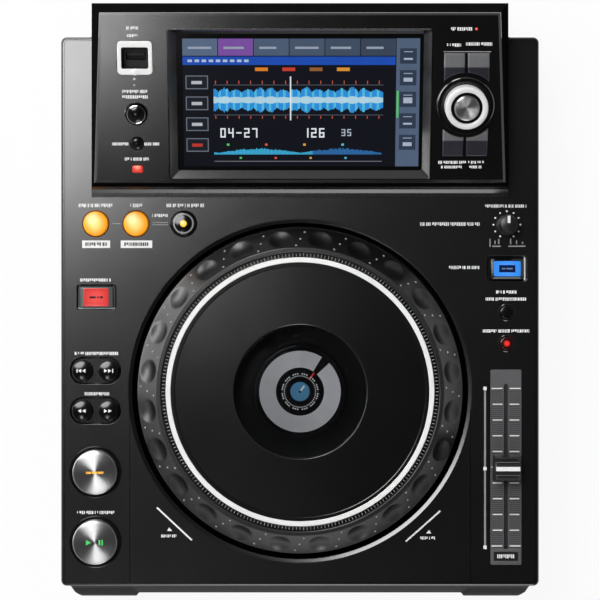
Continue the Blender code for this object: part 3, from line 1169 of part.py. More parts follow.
def console_buttons():
    gloss = finish("key_gloss", (0.03, 0.03, 0.034), 0.2)
    for name, (x, v, size) in console_round_keys().items():
        round_button(name, size, gloss, on_face(x, v), FACE_THICKNESS, CONSOLE_BOARD_DEPTH, TILT)
    red = finish("quantize_red", (0.85, 0.08, 0.06), 0.3)
    key_button("quantize_button", QUANTIZE, red, on_face(STOP_X, QUANTIZE_V), FACE_THICKNESS,
               CONSOLE_BOARD_DEPTH, TILT)
    under = -FACE_THICKNESS - SEAT_GAP
    stem_end = -CONSOLE_BOARD_DEPTH + SWITCH_HEIGHT + STOP["travel"] + SEAT_GAP
    for name, (across, along) in SIDE_BUTTONS.items():
        rise = SIDE_BUTTON_RISE
        loops = [side_button_outline(under - BUTTON_FLANGE_THICKNESS, 0, across, along),
                 side_button_outline(rise - SIDE_BUTTON_EDGE, 0, across, along),
                 side_button_outline(rise, -SIDE_BUTTON_EDGE, across, along)]
        # The outer end of each key slopes away from the selector.
        slope_start = (SIDE_BUTTON_ARC + SIDE_BUTTON_REACH) / 2
        for loop in loops[1:]:
            for point in loop:
                past = max(0, abs(point.y) - slope_start) / (SIDE_BUTTON_REACH - slope_start)
                point.z -= SIDE_BUTTON_SLOPE * past
        key = place(name, loft(loops), gloss, on_face(SELECTOR_X, SELECTOR_V), TILT)
        stem_x, stem_v = side_button_stem(across, along)
        middle = (stem_x - SELECTOR_X, stem_v - SELECTOR_V)
        held = rounded_rect(SWITCH_SIZE, SWITCH_SIZE, STEM_RADIUS / 2, 0, middle)
        low = [point + Vector((0, 0, stem_end)) for point in held]
        high = [point + Vector((0, 0, under - BUTTON_FLANGE_THICKNESS / 2)) for point in held]
        combine(key, loft([low, high]), name + "_stem", "UNION", on_face(SELECTOR_X, SELECTOR_V), TILT)


def selector():
    location = on_face(SELECTOR_X, SELECTOR_V)
    top = SELECTOR_RISE
    groove = top - SELECTOR_GROOVE_DEPTH
    base = SELECTOR_FLOAT
    hollow_top = top - SELECTOR_TOP_WALL
    edge = SELECTOR_EDGE
    low = top - edge
    cap = SELECTOR_CAP_RADIUS
    ring = SELECTOR_GROOVE_OUTER
    outer = SELECTOR_RADIUS
    profile = [(cap - edge, top), (cap, low), (cap, groove), (ring, groove), (ring, low), (ring + edge, top),
               (outer - edge, top), (outer, low), (outer, base), (SELECTOR_HOLLOW, base),
               (SELECTOR_HOLLOW, hollow_top)]
    chrome = finish("selector_chrome", (0.75, 0.75, 0.76), 0.15, 1.0)
    place("selector_knob", turned(profile, SHAFT_ROUND), chrome, location, TILT)

    under = -FACE_THICKNESS - SEAT_GAP
    flange = PLUNGER_RADIUS + PLUNGER_FLANGE
    stem_end = -CONSOLE_BOARD_DEPTH + SWITCH_HEIGHT + SELECTOR_TRAVEL + SEAT_GAP
    plunger = [(PLUNGER_RADIUS, hollow_top - SEAT_GAP), (PLUNGER_RADIUS, under), (flange, under),
               (flange, under - PLUNGER_FLANGE_THICKNESS), (STEM_RADIUS, under - PLUNGER_FLANGE_THICKNESS),
               (STEM_RADIUS, stem_end)]
    steel = finish("plunger_steel", (0.6, 0.6, 0.62), 0.3, 1.0)
    place("selector_plunger", turned(plunger, SMALL_ROUND), steel, location, TILT)


def usb_well():
    location = on_face(USB_X, USB_V)
    outer = (USB_FRAME_WIDTH, USB_FRAME_DEPTH, USB_FRAME_CORNER)
    window = (USB_WINDOW_WIDTH, USB_WINDOW_DEPTH, USB_WELL_WALL)
    wall = 2 * USB_WELL_WALL
    tube = (USB_WINDOW_WIDTH + wall, USB_WINDOW_DEPTH + wall, USB_WELL_WALL)
    edge = USB_FRAME_PROUD / 2
    rim = (outer[0] - 2 * edge, outer[1] - 2 * edge, outer[2] - edge)
    loops = [rounded_rect(*window, USB_FRAME_PROUD), rounded_rect(*rim, USB_FRAME_PROUD),
             rounded_rect(*outer, USB_FRAME_PROUD - edge), rounded_rect(*outer, -USB_FRAME_FLANGE),
             rounded_rect(*tube, -USB_FRAME_FLANGE), rounded_rect(*tube, -USB_WELL_DEPTH),
             rounded_rect(*window, -USB_WELL_DEPTH)]
    place("usb_frame", loft(loops, ring=True), finish("frame_white", (0.9, 0.9, 0.9), 0.4), location, TILT)

    top = -USB_WELL_DEPTH - SEAT_GAP
    end = -CONSOLE_BOARD_DEPTH + SEAT_GAP
    floor = top - USB_POCKET_DEPTH
    pocket = (USB_SHELL_WIDTH, USB_SHELL_DEPTH, USB_WELL_WALL / 2)
    loops = [rounded_rect(*tube, end), rounded_rect(*tube, top), rounded_rect(*pocket, top),
             rounded_rect(*pocket, floor)]
    steel = finish("socket_steel", (0.55, 0.55, 0.57), 0.3, 1.0)
    socket = place("usb_socket", loft(loops), steel, location, TILT)
    tongue = add_box(bmesh.new(), (-USB_TONGUE_WIDTH / 2, SEAT_GAP, floor - SHORT_OVERRUN),
                     (USB_TONGUE_WIDTH / 2, SEAT_GAP + USB_TONGUE_DEPTH, top - SEAT_GAP))
    combine(socket, tongue, "socket_tongue", "UNION", location, TILT)


# Boards inside

def control_boards():
    green = finish("control_green", (0.05, 0.22, 0.10), 0.5)
    left = left_x(BOARD_FROM_SIDE)
    inner = left + LEFT_BOARD_WIDTH
    arm = left + LEFT_BOARD_ARM_WIDTH
    front = front_y(LEFT_BOARD_FROM_FRONT)
    rear = front_y(LEFT_BOARD_REAR_FROM_FRONT)
    arm_front = front_y(LEFT_BOARD_ARM_FROM_FRONT)
    plan = [(left, front), (inner, front), (inner, arm_front), (arm, arm_front), (arm, rear), (left, rear)]
    left_keys = [(x, y) for x, y, _ in list(deck_round_keys().values()) + list(skip_keys().values()) if x < 0]
    left_keys.append(deck_keys()["direction_button"])
    add_board("left_board", plan, left_keys, green)

    right = right_x(BOARD_FROM_SIDE)
    inner = right - RIGHT_BOARD_WIDTH
    front = front_y(RIGHT_BOARD_FROM_FRONT)
    plan = [(inner, front), (right, front), (right, rear), (inner, rear)]
    right_keys = [(x, y) for x, y, _ in deck_round_keys().values() if x > 0]
    right_keys.append(deck_keys()["jog_mode_button"])
    add_board("right_board", plan, right_keys, green)


def add_board(name, plan, keys, material):
    loops = [[Vector((x, y, z)) for x, y in plan] for z in (BOARD_TOP - BOARD_THICKNESS, BOARD_TOP)]
    board = place(name, loft(loops), material)
    switches = bmesh.new()
    for x, y in keys:
        add_switch(switches, x, y, BOARD_TOP)
    combine(board, switches, name + "_switches", "UNION")


def board_pillars(x, width):
    y = REAR_Y - MAIN_BOARD_FROM_REAR
    side = width / 2 - PILLAR_INSET
    end = MAIN_BOARD_DEPTH / 2 - PILLAR_INSET
    top = FLOOR_TOP + MAIN_BOARD_LIFT
    return [(x + sx * side, y + sy * end, top) for sx in (-1, 1) for sy in (-1, 1)]


def main_pillars():
    return board_pillars(MAIN_BOARD_X, MAIN_BOARD_WIDTH)


def power_pillars():
    return board_pillars(POWER_BOARD_X, POWER_BOARD_WIDTH)


def rear_boards():
    y = REAR_Y - MAIN_BOARD_FROM_REAR
    low = FLOOR_TOP + MAIN_BOARD_LIFT + SEAT_GAP
    top = REAR_BOARD_TOP
    green = finish("main_green", (0.05, 0.22, 0.10), 0.5)
    half = MAIN_BOARD_WIDTH / 2
    deep = MAIN_BOARD_DEPTH / 2
    bm = add_box(bmesh.new(), (MAIN_BOARD_X - half, y - deep, low), (MAIN_BOARD_X + half, y + deep, top))
    main = place("main_board", bm, green)
    chips = bmesh.new()
    for side in (-1, 1):
        x = MAIN_BOARD_X + side * (half - CHIP["from_edge"])
        add_box(chips, (x - CHIP["width"] / 2, y - CHIP["depth"], top - BOARD_THICKNESS / 2),
                (x + CHIP["width"] / 2, y, top + CHIP["height"]))
    combine(main, chips, "main_chips", "UNION")

    half = POWER_BOARD_WIDTH / 2
    bm = add_box(bmesh.new(), (POWER_BOARD_X - half, y - deep, low), (POWER_BOARD_X + half, y + deep, top))
    supply = place("power_supply", bm, finish("supply_brown", (0.30, 0.22, 0.10), 0.5))
    sunk = top - BOARD_THICKNESS / 2
    parts = bmesh.new()
    for size, block_y in ((TRANSFORMER, y), (HEAT_SINK, y - HEAT_SINK["from_transformer"])):
        half_x = size["width"] / 2
        half_y = size["depth"] / 2
        add_box(parts, (POWER_BOARD_X - half_x, block_y - half_y, sunk),
                (POWER_BOARD_X + half_x, block_y + half_y, top + size["height"]))
    turned([(CAPACITOR["radius"], sunk), (CAPACITOR["radius"], top + CAPACITOR["height"])], SMALL_ROUND,
           bm=parts, centre=(POWER_BOARD_X - CAPACITOR["from_transformer"], y))
    combine(supply, parts, "supply_parts", "UNION")


# Sockets at the rear. Their own frame has +Z running out of the player, to the rear.

def rear_frame(x, z, y):
    return Matrix.Translation((x, y, z)) @ Matrix.Rotation(-math.pi / 2, 4, "X")


def stand(bm, x, z, y):
    bmesh.ops.transform(bm, matrix=rear_frame(x, z, y), verts=bm.verts)
    return bm


def socket_height(size):
    # A socket on the main board stands with its underside on the board.
    return REAR_BOARD_TOP + SEAT_GAP + size["height"] / 2


def terminal_plate():
    y = BAY_REAR_Y - CASE_WALL - SEAT_GAP
    width = TERMINAL_WIDTH + 2 * TERMINAL_PLATE_LAP
    low = TERMINAL_BOTTOM - TERMINAL_PLATE_LAP
    bm = add_box(bmesh.new(), (-width / 2, y - TERMINAL_PLATE_THICKNESS, low),
                 (width / 2, y, TERMINAL_TOP + TERMINAL_PLATE_LAP))
    plate = place("terminal_plate", bm, finish("terminal_black", (0.03, 0.03, 0.03), 0.5, 0.6))
    holes = bmesh.new()
    places = [(INLET["x"], INLET["z"], INLET["width"], INLET["height"]),
              (POWER_BUTTON["x"], POWER_BUTTON["z"], POWER_BUTTON["width"], POWER_BUTTON["height"]),
              (LAN["x"], socket_height(LAN), LAN["width"], LAN["height"]),
              (USB_B["x"], socket_height(USB_B), USB_B["width"], USB_B["height"])]
    inside = -TERMINAL_PLATE_THICKNESS - OVERRUN
    for x, z, wide, high in places:
        half = wide / 2 + SLIDE_CLEARANCE
        tall = high / 2 + SLIDE_CLEARANCE
        add_box(holes, (x - half, y + inside, z - tall), (x + half, y + OVERRUN, z + tall))
    combine(plate, holes, "terminal_holes")
    barrels = bmesh.new()
    barrel = JACKS["barrel"] + SLIDE_CLEARANCE
    for x in jack_places():
        turned([(barrel, inside), (barrel, OVERRUN)], SMALL_ROUND, bm=barrels, centre=(x, 0))
    combine(plate, stand(barrels, JACKS["x"], socket_height(JACKS), y), "barrel_holes")


def jacks_width():
    return JACKS["pitch"] * (JACKS["count"] - 1) + 2 * JACKS["margin"]


def jack_places():
    return [JACKS["pitch"] * (index - (JACKS["count"] - 1) / 2) for index in range(JACKS["count"])]


def boxed_socket(name, size, z, material):
    # A square shell, open to the rear, as deep as its mouth.
    front = BAY_REAR_Y - SOCKET_STAND_OUT
    shell = (size["width"], size["height"], size["corner"])
    mouth = (size["mouth_width"], size["mouth_height"], size["corner"])
    levels = ((shell, -size["depth"]), (shell, 0), (mouth, 0), (mouth, -size["mouth_depth"]))
    loops = [rounded_rect(*plan, level, steps=1) for plan, level in levels]
    return place(name, stand(loft(loops), size["x"], z, front), material)


def rear_sockets():
    front = BAY_REAR_Y - SOCKET_STAND_OUT
    steel = finish("port_steel", (0.6, 0.6, 0.62), 0.3, 1.0)
    black = finish("port_black", (0.03, 0.03, 0.03), 0.45)
    boxed_socket("lan_socket", LAN, socket_height(LAN), steel)
    usb = boxed_socket("usb_b_socket", USB_B, socket_height(USB_B), steel)
    half_x = USB_B["tongue_width"] / 2
    half_y = USB_B["tongue_height"] / 2
    floor = -USB_B["mouth_depth"]
    tongue = add_box(bmesh.new(), (-half_x, -half_y, floor - SHORT_OVERRUN),
                     (half_x, half_y, floor + USB_B["tongue_length"]))
    combine(usb, stand(tongue, USB_B["x"], socket_height(USB_B), front), "usb_b_tongue", "UNION")
    mains_inlet(front, black)
    phono_jacks(black)
    power_switch(black)


def mains_inlet(front, material):
    # A pill-shaped mouth with two pins.
    shell = (INLET["width"], INLET["height"], INLET["corner"])
    mouth = (INLET["mouth_width"], INLET["mouth_height"], INLET["mouth_height"] / 2 - SEAT_GAP)
    floor = -INLET["mouth_depth"]
    levels = ((shell, -INLET["depth"]), (shell, 0), (mouth, 0), (mouth, floor))
    loops = [rounded_rect(*plan, level) for plan, level in levels]
    inlet = place("ac_inlet", stand(loft(loops), INLET["x"], INLET["z"], front), material)
    pins = bmesh.new()
    radius = INLET["pin_radius"]
    for side in (-1, 1):
        turned([(radius, floor - SHORT_OVERRUN), (radius, floor + INLET["pin_length"])], BOSS_ROUND,
               bm=pins, centre=(side * INLET["pin_pitch"] / 2, 0))
    combine(inlet, stand(pins, INLET["x"], INLET["z"], front), "inlet_pins", "UNION")


def phono_jacks(material):
    # Phono jacks on one moulded block behind the terminal plate.
    front = BAY_REAR_Y - CASE_WALL - TERMINAL_PLATE_THICKNESS - 2 * SEAT_GAP
    block = (jacks_width(), JACKS["height"], JACKS["corner"])
    loops = [rounded_rect(*block, level, steps=1) for level in (-JACKS["depth"], 0)]
    z = socket_height(JACKS)
    jacks = place("audio_jacks", stand(loft(loops), JACKS["x"], z, front), material)
    barrels = bmesh.new()
    bores = bmesh.new()
    end = JACKS["barrel_length"]
    for x in jack_places():
        turned([(JACKS["barrel"], -SHORT_OVERRUN), (JACKS["barrel"], end)], SMALL_ROUND, bm=barrels,
               centre=(x, 0))
        turned([(JACKS["bore"], end - JACKS["bore_depth"]), (JACKS["bore"], end + OVERRUN)], BOSS_ROUND,
               bm=bores, centre=(x, 0))
    combine(jacks, stand(barrels, JACKS["x"], z, front), "jack_barrels", "UNION")
    combine(jacks, stand(bores, JACKS["x"], z, front), "jack_bores")


def power_switch(material):
    size = POWER_BUTTON
    edge = size["edge"]
    top = size["rise"] - size["travel"]
    flange_top = -CASE_WALL - TERMINAL_PLATE_THICKNESS - 2 * SEAT_GAP
    flange = SLIDE_CLEARANCE + BUTTON_FLANGE
    profile = [(-edge, top), (0, top - edge), (0, flange_top), (flange, flange_top),
               (flange, flange_top - BUTTON_FLANGE_THICKNESS - size["stem"])]
    loops = [rounded_rect(size["width"] + 2 * grow, size["height"] + 2 * grow, size["corner"], level)
             for grow, level in profile]
    place("power_button", stand(loft(loops), size["x"], size["z"], BAY_REAR_Y), material)


def build():
    for old in list(bpy.data.objects):
        bpy.data.objects.remove(old, do_unlink=True)
    lower_case()
    base_plate()
    feet()
    deck_panel()
    deck_buttons()
    speed_knob()
    tempo_fader()
    jog_ring()
    jog_plate()
    jog_hub()
    jog_bowl()
    jog_display()
    console_housing()
    console_face()
    screen()
    console_board()
    console_buttons()
    selector()
    usb_well()
    control_boards()
    rear_boards()
    terminal_plate()
    rear_sockets()


build()
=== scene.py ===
import json
import math
import random

import bmesh
import bpy
from mathutils import Matrix, Vector

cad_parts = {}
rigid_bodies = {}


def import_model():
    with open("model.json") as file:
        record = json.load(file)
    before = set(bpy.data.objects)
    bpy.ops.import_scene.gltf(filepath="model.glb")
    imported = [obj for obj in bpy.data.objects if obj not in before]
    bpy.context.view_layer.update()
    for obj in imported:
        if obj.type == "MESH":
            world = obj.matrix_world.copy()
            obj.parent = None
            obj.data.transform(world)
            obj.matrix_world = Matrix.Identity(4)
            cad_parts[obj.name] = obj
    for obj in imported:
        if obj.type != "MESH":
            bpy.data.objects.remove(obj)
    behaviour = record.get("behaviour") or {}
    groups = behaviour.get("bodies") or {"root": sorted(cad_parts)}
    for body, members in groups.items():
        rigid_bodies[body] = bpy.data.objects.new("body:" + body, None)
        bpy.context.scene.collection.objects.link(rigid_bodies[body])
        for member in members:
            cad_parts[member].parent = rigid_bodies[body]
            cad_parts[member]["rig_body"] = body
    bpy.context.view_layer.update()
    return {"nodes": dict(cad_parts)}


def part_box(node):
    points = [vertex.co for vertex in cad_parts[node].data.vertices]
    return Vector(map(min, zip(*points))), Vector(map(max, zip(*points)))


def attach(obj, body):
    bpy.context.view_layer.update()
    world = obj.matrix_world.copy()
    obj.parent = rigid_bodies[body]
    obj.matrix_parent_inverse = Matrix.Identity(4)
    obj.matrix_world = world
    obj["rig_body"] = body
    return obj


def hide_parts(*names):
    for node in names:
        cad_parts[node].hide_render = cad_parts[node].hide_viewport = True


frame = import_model()
nodes = frame["nodes"]
mm = 0.001
print("frame loaded:", len(nodes), "nodes")


camera = {"place": (0, 0.004, 1.312), "lens": 117.2, "sensor": 36, "near": 0.05, "far": 50}
lightAim = (0, 0, 0.06)
softLights = {
    "keyLight": {"place": (-0.53, 0.50, 1.52), "size": 0.84, "power": 17},
    "faceLight": {"place": (-0.92, -2.22, 6.1), "size": 0.6, "power": 10, "aim": (0, 0.1, 0.09)},
    "sideLight": {"place": (-2.13, 0.86, 0.5), "size": 2.1, "tall": 0.6, "power": 20},
    "frontLight": {"place": (0.1, -1.75, 1.10), "size": 0.8, "power": 6},
    "rearLight": {"place": (-0.55, 1.70, 0.95), "size": 0.8, "power": 11}}
skyStops = ((0.0, 1), (0.2, 0.86), (0.4, 0.44), (0.62, 0.36), (0.84, 0.03))
floorSize = 14


def addCamera():
    data = bpy.data.cameras.new("camera")
    data.lens = camera["lens"]
    data.sensor_width = camera["sensor"]
    data.clip_start = camera["near"]
    data.clip_end = camera["far"]
    item = bpy.data.objects.new("camera", data)
    item.location = camera["place"]
    bpy.context.scene.collection.objects.link(item)
    bpy.context.scene.camera = item


def addSoftLight(name, facts):
    data = bpy.data.lights.new(name, "AREA")
    data.shape = "RECTANGLE" if "tall" in facts else "DISK"
    data.size = facts["size"]
    data.size_y = facts.get("tall", facts["size"])
    data.energy = facts["power"]
    item = bpy.data.objects.new(name, data)
    item.location = facts["place"]
    aim = Vector(facts.get("aim", lightAim)) - Vector(facts["place"])
    item.rotation_euler = aim.to_track_quat("-Z", "Y").to_euler()
    bpy.context.scene.collection.objects.link(item)


def maths(operation, reflected=False):
    # one of Plug's operators as a Math node; reflected is the form with the value on its left
    def apply(self, *others):
        parts = (*others, self) if reflected else (self, *others)
        return self.finish.add("ShaderNodeMath", {"operation": operation}, dict(enumerate(parts))).out()
    return apply


class Plug:
    def __init__(self, finish, socket):
        self.finish = finish
        self.socket = socket

    __add__ = maths("ADD")
    __radd__ = maths("ADD", True)
    __sub__ = maths("SUBTRACT")
    __rsub__ = maths("SUBTRACT", True)
    __mul__ = maths("MULTIPLY")
    __rmul__ = maths("MULTIPLY", True)
    root = maths("SQRT")
    largest = maths("MAXIMUM")


class Made:
    def __init__(self, finish, node):
        self.finish = finish
        self.node = node

    def out(self, name=0):
        return Plug(self.finish, self.node.outputs[name])


class Finish:
    def __init__(self, name, tree=None):
        if tree is None:
            self.material = bpy.data.materials.new(name)
            self.material.use_nodes = True
            tree = self.material.node_tree
        self.tree = tree
        self.tree.nodes.clear()

    def add(self, kind, settings=None, values=None):
        node = self.tree.nodes.new(kind)
        for name, setting in (settings or {}).items():
            if name == "stops":
                ramp = node.color_ramp
                while len(ramp.elements) < len(setting):
                    ramp.elements.new(0.5)
                for element, (place, level) in zip(ramp.elements, setting):
                    element.position = place
                    element.color = (level, level, level, 1)
            else:
                setattr(node, name, setting)
        for name, value in (values or {}).items():
            socket = node.inputs[name]
            if isinstance(value, Made):
                value = value.out()
            if isinstance(value, Plug):
                self.tree.links.new(value.socket, socket)
            elif isinstance(value, tuple) and len(value) == 3 and socket.type == "RGBA":
                socket.default_value = (*value, 1)
            else:
                socket.default_value = value
        return Made(self, node)

    def place(self):
        return self.add("ShaderNodeTexCoord").out("Object")

    def axes(self):
        split = self.add("ShaderNodeSeparateXYZ", None, {0: self.place()})
        return split.out("X"), split.out("Y")

    def noise(self, size, detail=3, roughness=0.5, stretch=None):
        where = self.place()
        if stretch:
            where = self.add("ShaderNodeVectorMath", {"operation": "MULTIPLY"},
                             {0: where, 1: stretch}).out()
        return self.add("ShaderNodeTexNoise", None, {"Vector": where, "Scale": 1 / size, "Detail": detail,
                                                     "Roughness": roughness}).out("Fac")

    def span(self, value, low, high, start=0.0, end=1.0):
        return self.add("ShaderNodeMapRange", {"interpolation_type": "SMOOTHSTEP", "clamp": True},
                        {"Value": value, "From Min": low, "From Max": high,
                         "To Min": start, "To Max": end}).out()

    def blend(self, share, first, second):
        return self.add("ShaderNodeMix", {"data_type": "RGBA", "clamp_factor": True},
                        {0: share, 6: first, 7: second}).out(2)

    def shades(self, share, colour, least, most):
        # a colour that drifts between two of its shades
        return self.blend(share, *[tuple(min(1, c * k) for c in colour) for k in (least, most)])

    def bump(self, height, strength, depth):
        return self.add("ShaderNodeBump", None, {"Strength": strength, "Distance": depth,
                                                 "Height": height}).out()

    def surface(self, **values):
        names = {key.replace("_", " ").title().replace("Ior", "IOR"): value for key, value in values.items()}
        skin = self.add("ShaderNodeBsdfPrincipled", None, names)
        self.add("ShaderNodeOutputMaterial", None, {"Surface": skin})
        return self.material


def mouldedPlastic(name, colour, rough, specular=0.5):
    finish = Finish(name)
    cloud = finish.noise(34 * mm, 4, 0.6)
    pits = finish.noise(0.35 * mm, 2, 0.6)
    return finish.surface(base_color=finish.shades(cloud, colour, 0.88, 1.12),
                          roughness=rough + (cloud - 0.5) * 0.04 + (pits - 0.5) * 0.06,
                          specular_ior_level=specular, normal=finish.bump(pits, 0.5, 0.003 * mm))


def polishedPlastic(name, colour, rough, specular=0.5):
    finish = Finish(name)
    cloud = finish.noise(40 * mm, 3, 0.5)
    haze = finish.noise(6 * mm, 4, 0.6)
    return finish.surface(base_color=finish.shades(cloud, colour, 0.85, 1.15),
                          roughness=rough + (haze - 0.5) * 0.05, specular_ior_level=specular)


def dullMetal(name, colour, rough, grain=2 * mm):
    finish = Finish(name)
    cloud = finish.noise(grain, 4, 0.6)
    return finish.surface(base_color=finish.shades(cloud, colour, 0.8, 1.1), metallic=1.0,
                          roughness=rough + (cloud - 0.5) * 0.2)


def spunMetal(name, colour):
    # turned in circles: the shine is drawn out across the grooves
    finish = Finish(name)
    cloud = finish.noise(3 * mm, 3, 0.6)
    fine = finish.noise(0.25 * mm, 2, 0.7)
    return finish.surface(base_color=finish.shades(cloud, colour, 0.9, 1.06), metallic=1.0,
                          roughness=0.30 + (fine - 0.5) * 0.08, anisotropic=0.92, anisotropic_rotation=0.25)


def clearPlastic(name, colour):
    finish = Finish(name)
    haze = finish.noise(12 * mm, 3, 0.6)
    return finish.surface(base_color=finish.shades(haze, colour, 1, 0.96), roughness=0.01 + haze * 0.02,
                          ior=1.3, transmission_weight=1.0)


def litLens(name, edge, heart, centre, reach, glow=0.5, rough=0.2):
    # a lens lit from below, paler over its lamp
    finish = Finish(name)
    x, y = finish.axes()
    away = ((x - centre[0]) * (x - centre[0]) + (y - centre[1]) * (y - centre[1])).root()
    cloud = finish.noise(1.5 * mm, 2, 0.5)
    near = finish.span(away + (cloud - 0.5) * reach * 0.15, reach * 0.12, reach, 1.0, 0.0)
    tone = finish.blend(near, edge, heart)
    return finish.surface(base_color=tone, roughness=rough + (cloud - 0.5) * 0.05, emission_color=tone,
                          emission_strength=glow)


def litPicture(name):
    finish = Finish(name)
    tint = finish.add("ShaderNodeAttribute", {"attribute_name": "tint"}).out("Color")
    haze = finish.noise(9 * mm, 3, 0.6)
    tone = finish.blend(haze * 0.2, tint, (0.004, 0.004, 0.006))
    return finish.surface(base_color=(0.003, 0.003, 0.0035), roughness=0.06 + haze * 0.03,
                          emission_color=tone, emission_strength=1.0)


def keyPaintedSheen(name, far, near):
    # painted highlight: the far half of each side key is painted paler, as if lit where it slopes towards the
    # light
    finish = Finish(name)
    x, y = finish.axes()
    haze = finish.noise(3 * mm, 3, 0.6)
    # painted highlight masks: the far halves of the upper and lower side keys
    upperSheen = finish.span(y, 147.6 * mm, 148.4 * mm)
    lower = finish.span(y, 103.2 * mm, 104.0 * mm) * finish.span(y, 118 * mm, 122 * mm, 1.0, 0.0)
    tone = finish.blend(upperSheen.largest(lower) * (0.8 + haze * 0.3), near, far)
    return finish.surface(base_color=tone, roughness=0.24 + (haze - 0.5) * 0.06)


def boardFinish(name, colour, tracks):
    finish = Finish(name)
    mask = finish.span(finish.noise(3 * mm, 1, 0.4, (1, 6, 1)), 0.52, 0.56)
    return finish.surface(base_color=finish.blend(mask, colour, tracks), roughness=0.45 - mask * 0.1,
                          metallic=mask * 0.3)


def grey(level, blue=None):
    return level, level, blue or level


def plainName(slot):
    first, *rest = slot.split("_")
    return first + "".join(part.title() for part in rest)


# colour, roughness and, where it isn't the usual, strength of shine
finishRows = {
    mouldedPlastic: {
        "case_black": (grey(0.013, 0.0135), 0.6, 0.04), "deck_black": (grey(0.0020, 0.0023), 0.216, 1.0),
        "console_black": (grey(0.0020, 0.0022), 0.165, 0.9), "foot_rubber": (grey(0.02), 0.8, 0.3),
        "white_plastic": (grey(0.88, 0.87), 0.35), "plate_grey": (grey(0.10, 0.105), 0.42),
        "terminal_black": (grey(0.02), 0.5), "port_black": (grey(0.012), 0.45),
        "platter_black": (grey(0.0010, 0.0012), 0.205, 0.85), "hub_grey": (grey(0.003, 0.0033), 0.5),
        "knob_black": (grey(0.012), 0.4), "dotGrey": (grey(0.30, 0.305), 0.35),
        "housingBlack": (grey(0.0028, 0.0031), 0.27, 1.0), "wallMatt": (grey(0.0045, 0.0048), 0.6, 0.0),
        "seamBlack": (grey(0.001, 0.0011), 0.7, 0.0), "markWhite": (grey(0.88), 0.45),
        "markGrey": (grey(0.30, 0.31), 0.45), "labelPale": (grey(0.86, 0.85), 0.45),
        "markBlue": ((0.12, 0.20, 0.42), 0.45), "capBlack": (grey(0.010, 0.0105), 0.34),
        "ringPale": (grey(0.80), 0.3)},
    polishedPlastic: {
        "bezel_gloss": (grey(0.002, 0.0022), 0.13, 1.0), "screen_glass": (grey(0.003, 0.0035), 0.07),
        "bowl_black": (grey(0.0015, 0.0017), 0.25), "display_dark": (grey(0.012, 0.014), 0.3),
        "jog_black": (grey(0.0022, 0.0025), 0.3, 0.9), "key_gloss": (grey(0.003, 0.0033), 0.14),
        "red_lens": ((0.45, 0.02, 0.015), 0.2), "amber_lens": ((0.9, 0.42, 0.03), 0.25),
        "blue_lens": ((0.05, 0.16, 0.6), 0.2), "clearSides": ((0.10, 0.12, 0.115), 0.18),
        # the pale ledge colour is a paler copy of the clear sides: a painted highlight
        "lensDark": ((0.004, 0.012, 0.06), 0.15), "ledgePale": ((0.42, 0.50, 0.48), 0.3),
        "amberRing": ((0.10, 0.018, 0.004), 0.3)},
    dullMetal: {
        "bare_metal": (grey(0.62, 0.63), 0.35), "port_steel": ((0.68, 0.67, 0.64), 0.28),
        "bearing_bronze": ((0.55, 0.36, 0.18), 0.4), "chromeBright": (grey(0.80, 0.81), 0.12, 6 * mm)},
    boardFinish: {
        "board_green": ((0.01, 0.09, 0.03), (0.03, 0.2, 0.08)),
        "board_brown": ((0.12, 0.07, 0.03), (0.3, 0.2, 0.09))},
    spunMetal: {"selector_chrome": (grey(0.62, 0.63),), "brushed_metal": (grey(0.50, 0.505),)},
    clearPlastic: {"window_clear": ((0.46, 0.47, 0.485),)},
    # the side keys' finish, with a painted highlight on their far halves
    keyPaintedSheen: {"keySlate": ((0.15, 0.152, 0.16), (0.020, 0.020, 0.028))},
    litPicture: {"litPicture": ()}}
finishes = {slot: maker(plainName(slot), *facts)
            for maker, rows in finishRows.items() for slot, facts in rows.items()}


def dressNodes():
    for item in nodes.values():
        for slot in item.material_slots:
            slot.material = finishes[slot.material.name.split(".")[0]]


def addWorld():
    world = bpy.data.worlds.new("studio")
    world.use_nodes = True
    bpy.context.scene.world = world
    finish = Finish("studio", world.node_tree)
    toward = finish.add("ShaderNodeTexCoord").out("Generated")
    parts = finish.add("ShaderNodeSeparateXYZ", None, {0: toward})
    side = finish.span(parts.out("X"), 0.0, 0.9, 1.0, 0.7) * finish.span(parts.out("Y"), -0.9, 0.0, 0.55, 1.0)
    level = finish.add("ShaderNodeValToRGB", {"stops": skyStops}, {0: parts.out("Z")})
    sky = finish.add("ShaderNodeBackground", None, {"Color": level, "Strength": side})
    finish.add("ShaderNodeOutputWorld", None, {"Surface": sky})


def addFloor():
    shape = bmesh.new()
    bmesh.ops.create_grid(shape, x_segments=1, y_segments=1, size=floorSize / 2)
    item = finishPiece(shape, "floor", None, smooth=0)
    finish = Finish("paleFloor")
    rays = finish.add("ShaderNodeLightPath")
    seen = rays.out("Is Camera Ray").largest(rays.out("Is Glossy Ray")).largest(
        rays.out("Is Transmission Ray"))
    tone = finish.blend(finish.noise(0.6, 2), grey(0.86), grey(0.9))
    paint = finish.add("ShaderNodeBsdfDiffuse", None, {"Color": tone})
    glow = finish.add("ShaderNodeEmission", None, {"Color": grey(1), "Strength": 1.0})
    skin = finish.add("ShaderNodeMixShader", None, {0: seen * 0.92, 1: paint, 2: glow})
    finish.add("ShaderNodeOutputMaterial", None, {"Surface": skin})
    item.data.materials.append(finish.material)


flatFrom = 14 * mm * mm  # a face larger than this is shaded flat


